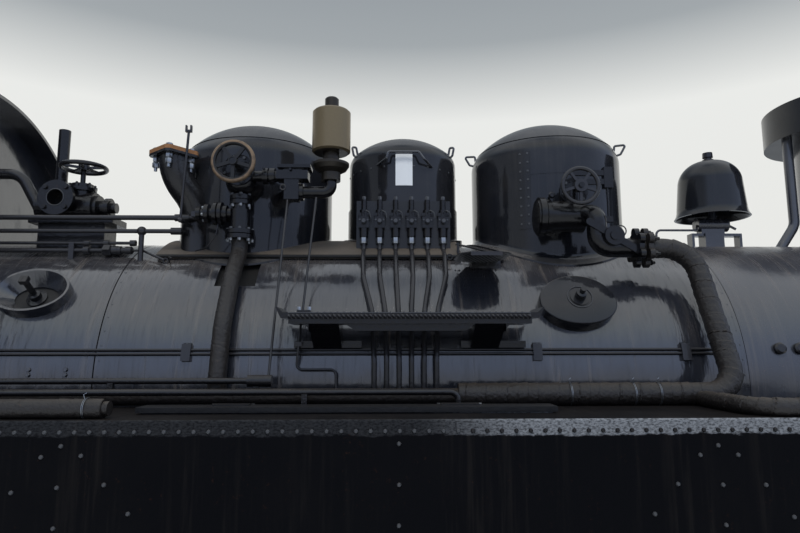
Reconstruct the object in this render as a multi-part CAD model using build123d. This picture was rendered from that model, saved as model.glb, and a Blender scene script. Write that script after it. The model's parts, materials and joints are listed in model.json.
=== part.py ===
from build123d import *
import os
from math import asin, ceil, cos, degrees, radians, sin, sqrt

# The boiler of a side-tank steam locomotive, with its smokebox, domes, fittings, side tanks and
# the front sheet of the cab. X runs forward, Z runs up and the right-hand side is -Y. The origin
# lies in the saddle's seat, under the chimney. All sizes are in millimetres.

# Boiler
AXIS_Z = 1400           # centre line above the saddle's seat
CLAD_R = 820            # outside of the cladding and of the smokebox
CLAD_T = 30             # cladding sheet with its lagging
SEAM_GAP = 3            # open joint between two cladding sheets
FIT = 0.3               # gap between curved faces that seat on each other
FRONT_X = 560           # front end of the smokebox
FRONT_SEAM_X = -1268    # smokebox to barrel
REAR_SEAM_X = -4452     # barrel to firebox
BACKHEAD_X = -6150      # rear end of the firebox
TOP_Z = AXIS_Z + CLAD_R
SMOKEBOX_WALL = 14
TUBE_PLATE_T = 30
FRONT_RING_T = 20
DOOR_R = 650
DOOR_LAP = 50           # how far the door covers the front ring
DOOR_DISH = 120
DOOR_WALL = 12
DOOR_BOSS_R = 70
HINGE_OUT = 40          # door edge to hinge pin
DOOR_STRAPS = (AXIS_Z - 250, AXIS_Z + 250)
STRAP_Y, STRAP_TALL, STRAP_T = 480, 70, 14
LUG_R, LUG_T, PIN_R = 22, 18, 11

# Firebox, its section under the round top, and what hangs below it
FIREBOX_FOOT = 560      # half width at the foundation ring
FIREBOX_WAIST = 250     # straight side below the centre line
FOUNDATION_Z = 200
WATER_SPACE = 130
CROWN_RISE = 230        # furnace crown above the centre line
CLAD_HEM_Z = 420        # lower edge of the firebox cladding
FIREHOLE_R = 190
FIREHOLE_DROP = 330
FIREHOLE_RING_T = 25
BACKHEAD_T = 20
ASHPAN_Z = 20
ASHPAN_WALL = 10
GRATE_BARS = 14

# Saddle
SADDLE_X = 450
SADDLE_Y = 620
SADDLE_BODY_Y = 440
SADDLE_FLANGE = 40
SADDLE_BOLT_X = 380
SADDLE_BOLT_Y = 560
SADDLE_BOLT_R = 16

# Chimney with its hood
CHIMNEY_R = 297
CHIMNEY_BORE = 230
CHIMNEY_TALL = 985      # above the top of the boiler
HOOD_R = 466
HOOD_LOW = 723
HOOD_HIGH = 943
HOOD_WALL = 12
HOOD_PIPE_X = -398
HOOD_PIPE_R = 30
HOOD_PIPE_BEND = 150    # where it turns back above the boiler
HOOD_PIPE_LEAN = 0.7    # its run back for each part down

# Domes: name, x, radius, height of the straight wall above the boiler's top
DOME_R = 465
DOME_SHOULDER = 128     # radius of the shoulder
DOME_TURN = 43.4        # turn of the shoulder, degrees, where the crown's seam lies
DOME_GROOVE = 5
STEAM_X, STEAM_WALL = -3865, 484
FEED_X, FEED_WALL = -2027, 501
SAND_X, SAND_R, SAND_WALL = -2945, 340, 510
SAND_SHOULDER, SAND_TURN = 90, 50
SAND_SKIRT_T = 6
SAND_SKIRT_TALL = 218
RING_R = 7
RAIL_R, RAIL_OUT, RAIL_RISE = 7, 34, 510      # the rail before the sand box
# Lifting rings on a shoulder: dome's x, azimuths, then distance from the axis and height above TOP_Z
RINGS = (
    (FEED_X, (-22, 172), ((445, 556), (476, 565), (508, 622), (441, 622), (436, 580))),
    (SAND_X, (25, -25, 155, 205), ((325, 548), (341, 562), (352, 612), (324, 614), (314, 565))),
)
BASE_FLANGE = 60        # width of a dome's foot
BASE_T = 8
BASE_FILLET = 40

# Sand gear on each side: six valves in a row on one chest, six pipes under the step
SAND_VALVES = 6
VALVE_PITCH = 90
VALVE_MID_X = -2951
VALVE_R = 24
VALVE_TALL = 215
CHEST_OUT = 60          # front of the chest before the dome
CHEST_X = 268           # half length
CHEST_LOW, CHEST_HIGH = -20, 205
NUT_R, NUT_TALL = 21, 40
SAND_PIPE_R = 13
SAND_PIPE_GAP = 8
SAND_PIPE_PITCH = 60    # where they run down beside the tank
SAND_PIPE_LOW_X = -2955
SAND_PIPE_END = 350     # below the centre line
SAND_PIPE_TURNS = ((54, 0.0), (41, 0.1), (26, 0.8), (9, 1.0))      # angle, share of the shift

# Step board on each side
STEP_X0, STEP_X1 = -3514, -2359
STEP_TIP_OUT, STEP_TIP_RISE = 24, 50        # turned-up ends of the tread
STEP_RISE = 325         # underside of the tread above the centre line
STEP_GAP = 15           # inner edge before the cladding's widest line
STEP_DEEP = 215
TREAD_T = 26
CHANNEL_T = 25
CHANNEL_IN = 26         # its ends before the tread's ends
STEP_MIDDLE = ((-3235, -2639), (-3185, -2685))        # upper and lower length of the middle channel
STEP_MIDDLE_T = 32
STEP_LEGS = ((-3398, -3262, -3492, -3166), (-2639, -2501, -2684, -2368))      # leg, then its pad
PAD_LOW, PAD_HIGH = 191, 224
PAD_OUT = 36
CORBEL_R = 36

# Twin conduits along each side
CONDUIT_R = 7
CONDUIT_ANGLES = (11.3, 12.7)
CONDUIT_FRONT_X = -1400
CLIP_X = (-5100, -4014, -2307, -1573)
CLIP_LONG, CLIP_T = 44, 6

# Oval washout openings on each side
WASHOUT_LONG, WASHOUT_TALL = 376, 274
COVER_GROW = 8          # the front cover's edge beyond the handhole's
WASHOUT_X, WASHOUT_ANGLE = -2078, 29.3
WASHOUT_T, WASHOUT_ROUND, BULGE_R = 84, 8, 600
HANDHOLE_X, HANDHOLE_ANGLE = -4837, 34
HANDHOLE_T, HANDHOLE_SINK = 50, 22      # rim above the cladding, bore below it
HANDHOLE_BORE = (108, 72)               # half length and half height
NECK_IN = 32            # handhole's neck inside its rim
PLUG_X = (-1099, -998)
PLUG_ANGLE = 12.9

# Cut-out in the barrel cladding behind the rear pipe
CUTOUT_X0, CUTOUT_X1 = -3943, -3731
CUTOUT_ANGLES = (38.5, 53.4)

# Side tanks
TANK_GAP = 110          # cladding to inner wall
TANK_WIDE = 570
TANK_DROP = 66          # tank top below the centre line
TANK_WALL = 8
TANK_FRONT_X = -760
TANK_CORNER = 10
MOUTH_X0, MOUTH_X1 = -4004, -2388
MOUTH_IN, MOUTH_OUT = 268, 187      # from the outer wall
COAMING_T, COAMING_TALL = 6, 22
LID_T, LID_RIM = 5, 16
LID_REAR, LID_REAR_RIM = 25, 8      # strip along the hinges with a lower rim
LID_LAP = 20
LID_CLEAR = 6
LID_PIN_R = 5
LID_HINGES = ((-3752, -3603), (-2821, -2662))
TANK_TOP = AXIS_Z - TANK_DROP
TANK_IN = CLAD_R + TANK_GAP
TANK_OUT = TANK_IN + TANK_WIDE

# Cab front
CAB_X = -5700           # front face of the sheet
CAB_T = 12
ROOF_OVER = 150         # roof edge before the sheet
ROOF_BACK = 120
ROOF_RISE = 1798        # crown above the centre line
ROOF_R, ROOF_TURN = 1200, 45        # crown's arc to each side, degrees, then straight eaves
KNEE_R = 250            # eaves to the cab's sides
EAVE_Z = AXIS_Z + 480
ROOF_BEAD = 10
WINDOW_R = 190
WINDOW_Y, WINDOW_RISE = 1130, 760

# Vent beside the steam dome: places of its foot and of its closed flange
VENT_R = 82
VENT_FOOT, VENT_TOP = (-4130, -360), (-4251, -460)
VENT_BEND_RISES, VENT_BEND_R = (985, 1165), 280
VENT_RISE = 1272
VENT_CASING_T, VENT_CASING_RISE = 8, 930
VENT_PLATE, VENT_FLANGE_T, VENT_BLANK_T = 204, 14, 22

# Feed valve before the feed dome: a lying clack box, its wheel, and the joint to the main pipe
CLACK_X0, CLACK_X1 = -2238, -1985
CLACK_R, CLACK_Y, CLACK_RISE = 104, -600, 892
FEED_WHEEL_R = 104
FEED_WHEEL_X, FEED_WHEEL_Y, FEED_WHEEL_RISE = -2038, -750, 1025
SPINDLE_R, FEED_FORK_X = 14, -1812
FORK_RISES, FORK_LONG, FORK_BAR = (1054, 1170), 48, 30
ELBOW_X, ELBOW_R = -1950, 50
JOINT_X, JOINT_Y, JOINT_RISE = -1735, -710, 703
JOINT_R, JOINT_T, JOINT_FACE = 104, 25, 22
JOINT_LOBES, JOINT_LOBE_R = 6, 27

# Pipes
MAIN_LAG_R = 49
MAIN_BARE_R, MAIN_BARE_DROP = 36, 8       # its centre below the lagged part's
MAIN_RUN_Y = -TANK_IN - 90
# Route of the main pipe behind its joint: x, y, height above the centre line, bend
MAIN_ROUTE = ((-1468, -722, 697, 150), (-1447, MAIN_RUN_Y, -17, 135))
MAIN_LAG_END_X = -2724
REAR_LAG_R = 41
SECOND_R, SECOND_IN = 33, 41     # from the tank's outer wall
SECOND_BRANCH_X, SECOND_END_X = -1640, -800
OUTER_R, OUTER_IN, OUTER_END_X = 35, 58, -4078
TANK_PIPE_R = 14
# Pipes along the tank's inner edge: y, height above the centre line
HIGH_PIPE = (-TANK_IN - 25, 42)
LOW_PIPE = (-TANK_IN - 170, 1)
HIGH_PIPE_UNION = (-3681, -3570, 27)
LOW_PIPE_END_X = -2733
HIGH_STOOLS, LOW_STOOLS = (-5200, -4300, -3640), (-5000, -3400)

# Shelf between the sand box and the feed dome: upper and lower length of its lip
SHELF_LONG = ((-2597, -2381), (-2545, -2435))
SHELF_RISE, SHELF_TALL, SHELF_Y = 700, 44, -510

# Bell: rim and height above TOP_Z, and the stool below it
BELL_X, BELL_RIM = -937, 198
BELL_STOOL_X0, BELL_STOOL_X1, BELL_STOOL_RISE = -1092, -768, 92
BELL_STOOL_T, BELL_STOOL_Y = 16, 32
STRIKER_R, STRIKER_RISE = 44, 152
STRIKER_PIPE_X, STRIKER_PIPE_Y = -1354, -100

# Whistle: heights above the centre line of its elbow, cup, body and cap
WHISTLE_X, WHISTLE_Y, WHISTLE_R = -3349, -600, 104
WHISTLE_ELBOW_R, WHISTLE_ELBOW_RISE = 32, 1022
WHISTLE_CUP_RISE, WHISTLE_BODY_RISE, WHISTLE_TOP_RISE, WHISTLE_CAP_RISE = 1084, 1240, 1478, 1556
WHISTLE_BLOCK_X0, WHISTLE_BLOCK_X1 = -3637, -3468
WHISTLE_BLOCK_LOW = 46      # its underside below the elbow
PULL_ROD_R = 6
DRAIN_Y, DRAIN_X0, DRAIN_X1 = -852, -3468, -3288        # whistle's drain round the step's pad
DRAIN_RISES = (200, 88, -80)

# Steam dome's stop valve: heights above the centre line, and the side branches' height
STOP_X, STOP_Y = STEAM_X + 26, -DOME_R - 95
STOP_LOW_RISE, STOP_JOINT_RISE, STOP_BODY_RISE, STOP_WHEEL_RISE = 770, 960, 1088, 1147
STOP_WHEEL_R, STOP_WHEEL_Y = 115, -DOME_R - 285
# Bonnet and rear branch: radius, then from and to along their lines
STOP_BONNET = ((60, 0, 110), (84, 70, 90))
STOP_BRANCH = ((30, 0, 235), (45, 70, 150), (38, 213, 235), (52, 168, 190), (62, 122, 140), (62, 96, 114))
STOP_BRANCH_RISE, STOP_BRANCH_LONG, STOP_LINK_RISE = 912, 235, 1110

# Turret in front of the cab
TURRET_X, TURRET_Y, TURRET_RISE, TURRET_R = -4834, -300, 1000, 88
TURRET_X0, TURRET_X1 = TURRET_X - 226, TURRET_X + 92
TURRET_ENDS = ((-20, 22, 72), (-20, 90, 44), (58, 84, 58), (84, 116, 30))      # from, to, radius
TURRET_WHEEL_R, TURRET_WHEEL_RISE = 134, 1244
STUB_AT, STUB_R, STUB_RISE = (-5015, -200), 33, 1508

# Rods and thin pipes along the firebox
ROD_GAP, THIN_Y = 22, -450       # rods' middle to the vent's casing
HIGH_ROD, LOW_ROD = (908, 14), (832, 12)        # height above the centre line, radius
FORK_ROD_RISE = 1360
ROD_SLEEVE, HIGH_SLEEVE_X, LOW_SLEEVE_X = 20, (-4222, -4140), (-4240, -4180)
THIN_RUNS = ((768, -4440, 9), (727, -4535, 13))     # height above the centre line, front end, radius
THIN_UNIONS = (-4705, -4600)
THIN_BLOCKS = (-5350, -4787)


def box(x0, x1, y0, y1, z0, z1):
    """A block between two corners."""
    size = Box(x1 - x0, y1 - y0, z1 - z0)
    return Pos((x0 + x1) / 2, (y0 + y1) / 2, (z0 + z1) / 2) * size


def rod(radius, start, end):
    """A round bar from one point to another."""
    axis = Vector(*end) - Vector(*start)
    return extrude(Plane(Vector(*start), z_dir=axis) * Circle(radius), amount=axis.length)


def lying(radius, x0, x1, y=0, z=AXIS_Z):
    """A round bar along X."""
    return Pos((x0 + x1) / 2, y, z) * Rot(0, 90, 0) * Cylinder(radius, x1 - x0)


def standing(radius, z0, z1, x, y=0):
    """A round bar along Z."""
    return Pos(x, y, (z0 + z1) / 2) * Cylinder(radius, z1 - z0)


def turned(outline, x=0, y=0, z=0):
    """A body turned about a vertical line from an outline of (radius, height)."""
    face = make_face(Plane.XZ * Polyline(*outline, close=True))
    return Pos(x, y, z) * revolve(face, Axis.Z)


def turned_at(outline, origin, direction):
    """A body turned about any line from an outline of (radius, height along the line)."""
    return Plane(Vector(*origin), z_dir=Vector(*direction)) * turned(outline)


def pipe(radius, route, bends):
    """A round pipe along straight runs that are joined by bends."""
    path = FilletPolyline(*route, radius=bends)
    return sweep(Plane(path @ 0, z_dir=path % 0) * Circle(radius), path=path)


def on_clad(angle, lift=0.0):
    """Y and Z of a point on the right side, at an angle above the centre line."""
    reach = CLAD_R + lift
    return -reach * cos(radians(angle)), AXIS_Z + reach * sin(radians(angle))


def clad_z(y, lift=0.0):
    """Height of the cladding's upper side at a distance from the middle."""
    return AXIS_Z + sqrt((CLAD_R + lift) ** 2 - y ** 2)


def off_boiler(part, x0=BACKHEAD_X, x1=FRONT_X):
    """What is left of a part outside the cladding."""
    return part - lying(CLAD_R + FIT, x0, x1)


def mirrored(part):
    """The left-hand twin of a right-hand part."""
    return mirror(part, Plane.XZ)


def handwheel(rim_r, wire_r, hub_r, spokes, centre, direction):
    """Rim, hub and spokes of a valve's handwheel, square to its spindle."""
    reach = rim_r - wire_r
    spoke = Pos(reach / 2, 0, 0) * Box(reach, wire_r * 1.3, wire_r)
    wheel = Torus(reach, wire_r) + Cylinder(hub_r, wire_r * 2.6)
    wheel += [Rot(0, 0, turn * 360 / spokes) * spoke for turn in range(spokes)]
    return Plane(Vector(*centre), z_dir=Vector(*direction)) * wheel


# Boiler shell
def barrel_shell():
    """The lagged boiler barrel with its front tube plate."""
    barrel = lying(CLAD_R - CLAD_T - FIT, REAR_SEAM_X, FRONT_SEAM_X)
    inner_r = CLAD_R - SMOKEBOX_WALL - FIT
    return barrel + lying(inner_r, FRONT_SEAM_X, FRONT_SEAM_X + TUBE_PLATE_T)


def barrel_cladding():
    """The barrel's sheet, with the cut-out behind the rear pipe."""
    x0, x1 = REAR_SEAM_X + SEAM_GAP, FRONT_SEAM_X - SEAM_GAP
    sheet = lying(CLAD_R, x0, x1) - lying(CLAD_R - CLAD_T, x0, x1)
    low_y, low_z = on_clad(CUTOUT_ANGLES[0])
    high_y, high_z = on_clad(CUTOUT_ANGLES[1])
    inward = CLAD_T * 2
    return sheet - box(CUTOUT_X0, CUTOUT_X1, low_y - 1, high_y + inward, low_z - 1, high_z)


def smokebox():
    """The smokebox shell, open to the chimney."""
    x0 = FRONT_SEAM_X
    shell = lying(CLAD_R, x0, FRONT_X) - lying(CLAD_R - SMOKEBOX_WALL, x0, FRONT_X)
    return shell - standing(CHIMNEY_BORE, AXIS_Z, TOP_Z + SMOKEBOX_WALL, 0)


def smokebox_front():
    """The ring that closes the smokebox round its door, with the hinge lugs."""
    face_x = FRONT_X + FRONT_RING_T
    ring = lying(CLAD_R, FRONT_X, face_x) - lying(DOOR_R - DOOR_LAP, FRONT_X, face_x)
    pin_x, pin_y = hinge_pin()
    for z in DOOR_STRAPS:
        for side in (-1, 1):
            low = z + side * (STRAP_TALL / 2 + LUG_T / 2 + 1) - LUG_T / 2
            lug = box(face_x, pin_x, pin_y - LUG_R, pin_y + LUG_R, low, low + LUG_T)
            ring += lug + standing(LUG_R, low, low + LUG_T, pin_x, pin_y)
        ring += standing(PIN_R, z - STRAP_TALL / 2 - LUG_T, z + STRAP_TALL / 2 + LUG_T, pin_x, pin_y)
    return ring


def hinge_pin():
    """X and Y of the smokebox door's pin."""
    return FRONT_X + FRONT_RING_T + LUG_R + 8, DOOR_R + HINGE_OUT


def smokebox_door():
    """A dished door with a flat rim, its straps and the boss for the wheel."""
    x = FRONT_X + FRONT_RING_T
    flat, rise = DOOR_R - DOOR_LAP, DOOR_DISH
    half, half_rise = flat / 2, rise * 0.76
    outer = ThreePointArc((0, DOOR_WALL + rise), (half, DOOR_WALL + half_rise), (flat, DOOR_WALL))
    rim = Polyline((flat, DOOR_WALL), (DOOR_R, DOOR_WALL), (DOOR_R, 0), (flat - DOOR_WALL, 0))
    inner = ThreePointArc((flat - DOOR_WALL, 0), (half, half_rise), (0, rise))
    middle = Line((0, rise), (0, DOOR_WALL + rise))
    dish = revolve(make_face(Plane.XZ * (outer + rim + inner + middle)), Axis.Z)
    door = Plane(Vector(x, 0, AXIS_Z), z_dir=Vector(1, 0, 0)) * dish
    pin_x, pin_y = hinge_pin()
    for z in DOOR_STRAPS:
        low, high = z - STRAP_TALL / 2, z + STRAP_TALL / 2
        strap = box(x + DOOR_WALL / 2, x + DOOR_WALL + STRAP_T, STRAP_Y, pin_y, low, high)
        eye = standing(LUG_R, low, high, pin_x, pin_y)
        door += strap + eye - standing(PIN_R + FIT, low, high, pin_x, pin_y)
    face_x = x + DOOR_WALL + rise
    return door + lying(DOOR_BOSS_R, face_x - DOOR_WALL, face_x + 25)


def door_wheel():
    """The handwheel and lever that draw the smokebox door shut."""
    x = FRONT_X + FRONT_RING_T + DOOR_WALL + DOOR_DISH + 25
    wheel = handwheel(170, 14, 42, 4, (x + 45, 0, AXIS_Z), (1, 0, 0))
    return wheel + lying(20, x, x + 60)


# Firebox
def side_at(z, inset=0.0):
    """Half width of the firebox at a height, less an inset."""
    waist_z = AXIS_Z - FIREBOX_WAIST
    if z >= waist_z:
        return CLAD_R - inset
    share = (z - FOUNDATION_Z) / (waist_z - FOUNDATION_Z)
    return FIREBOX_FOOT + share * (CLAD_R - FIREBOX_FOOT) - inset


def firebox_section(inset, bottom_z, x0, x1):
    """The round-topped section of the firebox, drawn in by an inset and run along X."""
    half, waist_z = side_at(AXIS_Z, inset), AXIS_Z - FIREBOX_WAIST
    foot = side_at(bottom_z, inset)
    sides = Polyline((-half, AXIS_Z), (-half, waist_z), (-foot, bottom_z), (foot, bottom_z),
                     (half, waist_z), (half, AXIS_Z))
    top = ThreePointArc((half, AXIS_Z), (0, AXIS_Z + half), (-half, AXIS_Z))
    face = Plane.YZ * make_face(sides + top)
    return Pos(x0, 0, 0) * extrude(face, amount=x1 - x0)


def furnace():
    """The room inside the firebox."""
    x0, x1 = BACKHEAD_X + WATER_SPACE, REAR_SEAM_X - WATER_SPACE
    room = firebox_section(CLAD_T + WATER_SPACE, FOUNDATION_Z, x0, x1)
    crown_z = AXIS_Z + CROWN_RISE
    return room & box(x0, x1, -CLAD_R, CLAD_R, FOUNDATION_Z, crown_z)


def firebox():
    """The firebox with its furnace and the firehole."""
    body = firebox_section(CLAD_T + FIT, FOUNDATION_Z, BACKHEAD_X, REAR_SEAM_X)
    hole = lying(FIREHOLE_R, BACKHEAD_X, BACKHEAD_X + WATER_SPACE, 0, AXIS_Z - FIREHOLE_DROP)
    return body - furnace() - hole


def firebox_cladding():
    """The sheet over the firebox, open at the two handholes."""
    x1 = REAR_SEAM_X - SEAM_GAP
    sheet = firebox_section(0, CLAD_HEM_Z, BACKHEAD_X, x1)
    sheet -= firebox_section(CLAD_T, CLAD_HEM_Z, BACKHEAD_X, x1)
    hole = washout_plane(HANDHOLE_X, HANDHOLE_ANGLE) * oval(*handhole_neck(FIT), -3 * CLAD_T, CLAD_T)
    return sheet - hole - mirrored(hole)


def backhead():
    """The plate that closes the boiler in the cab, with the firehole's ring and hinge."""
    x0, z = BACKHEAD_X - BACKHEAD_T, AXIS_Z - FIREHOLE_DROP
    plate = firebox_section(CLAD_T + FIT, FOUNDATION_Z, x0, BACKHEAD_X)
    ring = lying(FIREHOLE_R + 40, x0 - FIREHOLE_RING_T, x0, 0, z)
    hole = lying(FIREHOLE_R, x0 - FIREHOLE_RING_T, BACKHEAD_X, 0, z)
    return plate + ring + firehole_hinge() - hole


def firehole_pin():
    """X and Y of the firehole door's pin."""
    return BACKHEAD_X - BACKHEAD_T - FIREHOLE_RING_T - 20, FIREHOLE_R + 75


def firehole_door():
    """An oval-edged cast door with its two eyes and a handle."""
    x1, z = BACKHEAD_X - BACKHEAD_T - FIREHOLE_RING_T, AXIS_Z - FIREHOLE_DROP
    pin_x, pin_y = firehole_pin()
    door = lying(FIREHOLE_R + 25, x1 - 22, x1, 0, z) + lying(60, x1 - 40, x1 - 22, 0, z)
    for dz in (-90, 90):
        arm = box(x1 - 22, x1 - 8, FIREHOLE_R - 40, pin_y, z + dz - 20, z + dz + 20)
        eye = standing(17, z + dz - 20, z + dz + 20, pin_x, pin_y)
        door += arm + eye - standing(9 + FIT, z + dz - 20, z + dz + 20, pin_x, pin_y)
    return door + rod(9, (x1 - 22, -150, z), (x1 - 90, -150, z))


def firehole_hinge():
    """The lugs and the pin that carry the firehole door."""
    x1, z = BACKHEAD_X - BACKHEAD_T, AXIS_Z - FIREHOLE_DROP
    pin_x, pin_y = firehole_pin()
    hinge = standing(9, z - 130, z + 130, pin_x, pin_y)
    for low in (z - 130, z + 112):
        hinge += box(pin_x, x1, pin_y - 17, pin_y + 17, low, low + 18)
        hinge += standing(17, low, low + 18, pin_x, pin_y)
    return hinge


# Backhead fittings: x is measured out from the plate, y to the side, z above the centre line
def backhead_fittings():
    """Two gauge glasses, the injector valves and the pressure gauge in the cab."""
    face = BACKHEAD_X - BACKHEAD_T
    out = face - 70
    fittings = []
    for y in (-330, 330):
        glass = standing(14, AXIS_Z + 90, AXIS_Z + 330, out, y)
        for dz in (90, 330):
            glass += lying(20, out - 25, face, y, AXIS_Z + dz)
            glass += Pos(out, y, AXIS_Z + dz) * Box(44, 44, 50)
        fittings.append(glass)
    for y in (-480, 480):
        valve = lying(30, out - 30, face, y, AXIS_Z + 60) + standing(34, AXIS_Z, AXIS_Z + 120, out, y)
        fittings.append(valve + handwheel(55, 7, 14, 4, (out, y, AXIS_Z + 150), (0, 0, 1))
                        + standing(8, AXIS_Z + 120, AXIS_Z + 150, out, y))
    gauge = lying(95, out - 20, out + 25, 0, AXIS_Z + 560) + lying(16, out, face, 0, AXIS_Z + 560)
    fittings += [gauge, regulator()]
    return Compound(children=[part for fit in fittings for part in fit.solids()])


def regulator():
    """The regulator's stuffing box and its long handle."""
    face = BACKHEAD_X - BACKHEAD_T
    z = AXIS_Z + 330
    gland = lying(60, face - 45, face, 0, z) + lying(26, face - 120, face - 45, 0, z)
    handle = rod(13, (face - 100, 0, z), (face - 100, -230, z - 190))
    return gland + handle + Pos(face - 100, -230, z - 190) * Sphere(24)


def ashpan():
    """The hopper below the foundation ring, open to the grate and at its front damper."""
    x0, x1 = BACKHEAD_X + WATER_SPACE - 20, REAR_SEAM_X - WATER_SPACE + 20
    top, low = FIREBOX_FOOT - CLAD_T - 20, FIREBOX_FOOT - CLAD_T - 150

    def hopper(inset, z0):
        outline = Polyline((-top + inset, FOUNDATION_Z), (-low + inset, z0), (low - inset, z0),
                           (top - inset, FOUNDATION_Z), close=True)
        return extrude(Plane.YZ * make_face(outline), amount=x1 - x0 - 2 * inset)

    shell = Pos(x0, 0, 0) * hopper(0, ASHPAN_Z)
    shell -= Pos(x0 + ASHPAN_WALL, 0, 0) * hopper(ASHPAN_WALL, ASHPAN_Z + ASHPAN_WALL)
    return shell - box(x1 - ASHPAN_WALL, x1, -low * 0.7, low * 0.7, ASHPAN_Z + 40, FOUNDATION_Z - 30)


def fire_grate():
    """Grate bars on three bearers, inside the foot of the furnace."""
    z = FOUNDATION_Z + 20
    x0, x1 = BACKHEAD_X + WATER_SPACE + 5, REAR_SEAM_X - WATER_SPACE - 5
    half = side_at(z, CLAD_T + WATER_SPACE) - FIT
    grate = None
    for x in (x0 + 40, (x0 + x1) / 2, x1 - 40):
        bearer = box(x - 20, x + 20, -half, half, z, z + 30)
        grate = bearer if grate is None else grate + bearer
    pitch = 2 * (half - 30) / (GRATE_BARS - 1)
    for bar in range(GRATE_BARS):
        y = -half + 30 + bar * pitch
        grate += box(x0, x1, y - 10, y + 10, z + 30, z + 70)
    return grate


def saddle():
    """The casting that carries the smokebox, with its bolt holes."""
    foot = box(-SADDLE_X, SADDLE_X, -SADDLE_Y, SADDLE_Y, 0, SADDLE_FLANGE)
    wing_z = AXIS_Z - sqrt(CLAD_R ** 2 - SADDLE_BODY_Y ** 2)
    body = box(-SADDLE_X + 50, SADDLE_X - 50, -SADDLE_BODY_Y, SADDLE_BODY_Y, SADDLE_FLANGE, wing_z)
    pocket_top = AXIS_Z - CLAD_R - 60
    for side in (-1, 1):
        y0, y1 = sorted((side * (SADDLE_BODY_Y - 150), side * SADDLE_BODY_Y))
        for x0, x1 in ((-SADDLE_X + 100, -25), (25, SADDLE_X - 100)):
            body -= box(x0, x1, y0, y1, SADDLE_FLANGE, pocket_top)
    casting = off_boiler(foot + body)
    for x in (-SADDLE_BOLT_X, SADDLE_BOLT_X):
        for y in (-SADDLE_BOLT_Y, SADDLE_BOLT_Y):
            casting -= standing(SADDLE_BOLT_R, 0, SADDLE_FLANGE, x, y)
    return casting


# Chimney and domes
def footed(radius, tall, x, flange=BASE_FLANGE, curve=BASE_FILLET, thick=BASE_T):
    """An upright drum on a saddle-shaped foot, with a curved sweep into the foot."""
    top_z = TOP_Z + tall
    drum = standing(radius, AXIS_Z + CLAD_R / 2, top_z, x)
    foot = lying(CLAD_R + FIT + thick, x - radius - flange, x + radius + flange)
    foot &= standing(radius + flange, AXIS_Z + CLAD_R / 2, TOP_Z + 2 * thick, x)
    body = off_boiler(drum + foot)
    lines = [edge for edge in body.edges()
             if edge.geom_type not in (GeomType.LINE, GeomType.CIRCLE)
             and on_drum_foot(edge, radius, x, thick)]
    return fillet(lines, curve)


def on_drum_foot(edge, radius, x, thick):
    """Whether an edge is where a drum meets its foot."""
    middle = edge @ 0.37
    from_drum = abs(sqrt((middle.X - x) ** 2 + middle.Y ** 2) - radius)
    from_foot = abs(sqrt(middle.Y ** 2 + (middle.Z - AXIS_Z) ** 2) - CLAD_R - FIT - thick)
    return from_drum < 1 and from_foot < 1


def chimney():
    """The chimney with its foot and its lip."""
    stack = footed(CHIMNEY_R, CHIMNEY_TALL, 0, 100, 80)
    return stack - standing(CHIMNEY_BORE, AXIS_Z, TOP_Z + CHIMNEY_TALL, 0)


def chimney_hood():
    """The closed drum round the chimney's head."""
    low, high = TOP_Z + HOOD_LOW, TOP_Z + HOOD_HIGH
    drum = standing(HOOD_R, low, high, 0) - standing(CHIMNEY_R + FIT, low, high, 0)
    room = standing(HOOD_R - HOOD_WALL, low + HOOD_WALL, high - HOOD_WALL, 0)
    return drum - (room - standing(CHIMNEY_R + FIT + HOOD_WALL, low, high, 0))


def hood_pipe():
    """The pipe from the hood down to the smokebox, turned back at its foot."""
    bend_z, deep = TOP_Z + HOOD_PIPE_BEND, 2 * HOOD_PIPE_R
    foot_x = HOOD_PIPE_X - (HOOD_PIPE_BEND + deep) * HOOD_PIPE_LEAN
    route = ((HOOD_PIPE_X, 0, TOP_Z + HOOD_LOW), (HOOD_PIPE_X, 0, bend_z), (foot_x, 0, TOP_Z - deep))
    return off_boiler(pipe(HOOD_PIPE_R, route, 120))


def shoulder_arc(radius, shoulder, turn):
    """The shoulder's outline above a straight wall: its end radius, rise and crown radius."""
    end_r = radius - shoulder * (1 - cos(radians(turn)))
    return end_r, shoulder * sin(radians(turn)), end_r / cos(radians(turn))


def dome_casing(x, wall):
    """A large dome up to the seam of its crown."""
    end_r, rise, _ = shoulder_arc(DOME_R, DOME_SHOULDER, DOME_TURN)
    z = TOP_Z + wall
    base = footed(DOME_R, wall, x)
    curve = JernArc((DOME_R, 0), (0, 1), DOME_SHOULDER, DOME_TURN)
    edge = Polyline((end_r, rise), (0, rise), (0, 0), (DOME_R, 0))
    return base + Pos(x, 0, z) * revolve(make_face(Plane.XZ * (curve + edge)), Axis.Z)


def dome_crown(x, wall, radius=DOME_R, shoulder=DOME_SHOULDER, turn=DOME_TURN):
    """A dome's crown on its seam, over a narrow groove."""
    end_r, rise, crown_r = shoulder_arc(radius, shoulder, turn)
    z = TOP_Z + wall + rise
    groove = standing(end_r - DOME_GROOVE, z, z + DOME_GROOVE, x)
    low = crown_r * sin(radians(turn))
    ball = Pos(x, 0, z + DOME_GROOVE - low) * Sphere(crown_r)
    cap = ball & standing(radius, z + DOME_GROOVE, z + 2 * radius, x)
    return groove + cap


def sand_dome():
    """The sand box: skirt, chest of the valves on each side and foot."""
    skirt = footed(SAND_R + SAND_SKIRT_T, SAND_SKIRT_TALL, SAND_X, 30, 12, 34)
    front = SAND_R + CHEST_OUT
    chest = box(VALVE_MID_X - CHEST_X, VALVE_MID_X + CHEST_X, -front, front,
                AXIS_Z + CLAD_R / 2, TOP_Z + CHEST_HIGH)
    chest &= box(SAND_X - front, SAND_X + front, -front, front,
                 clad_z(front) + 30, TOP_Z + CHEST_HIGH)
    return skirt + off_boiler(chest)


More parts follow.
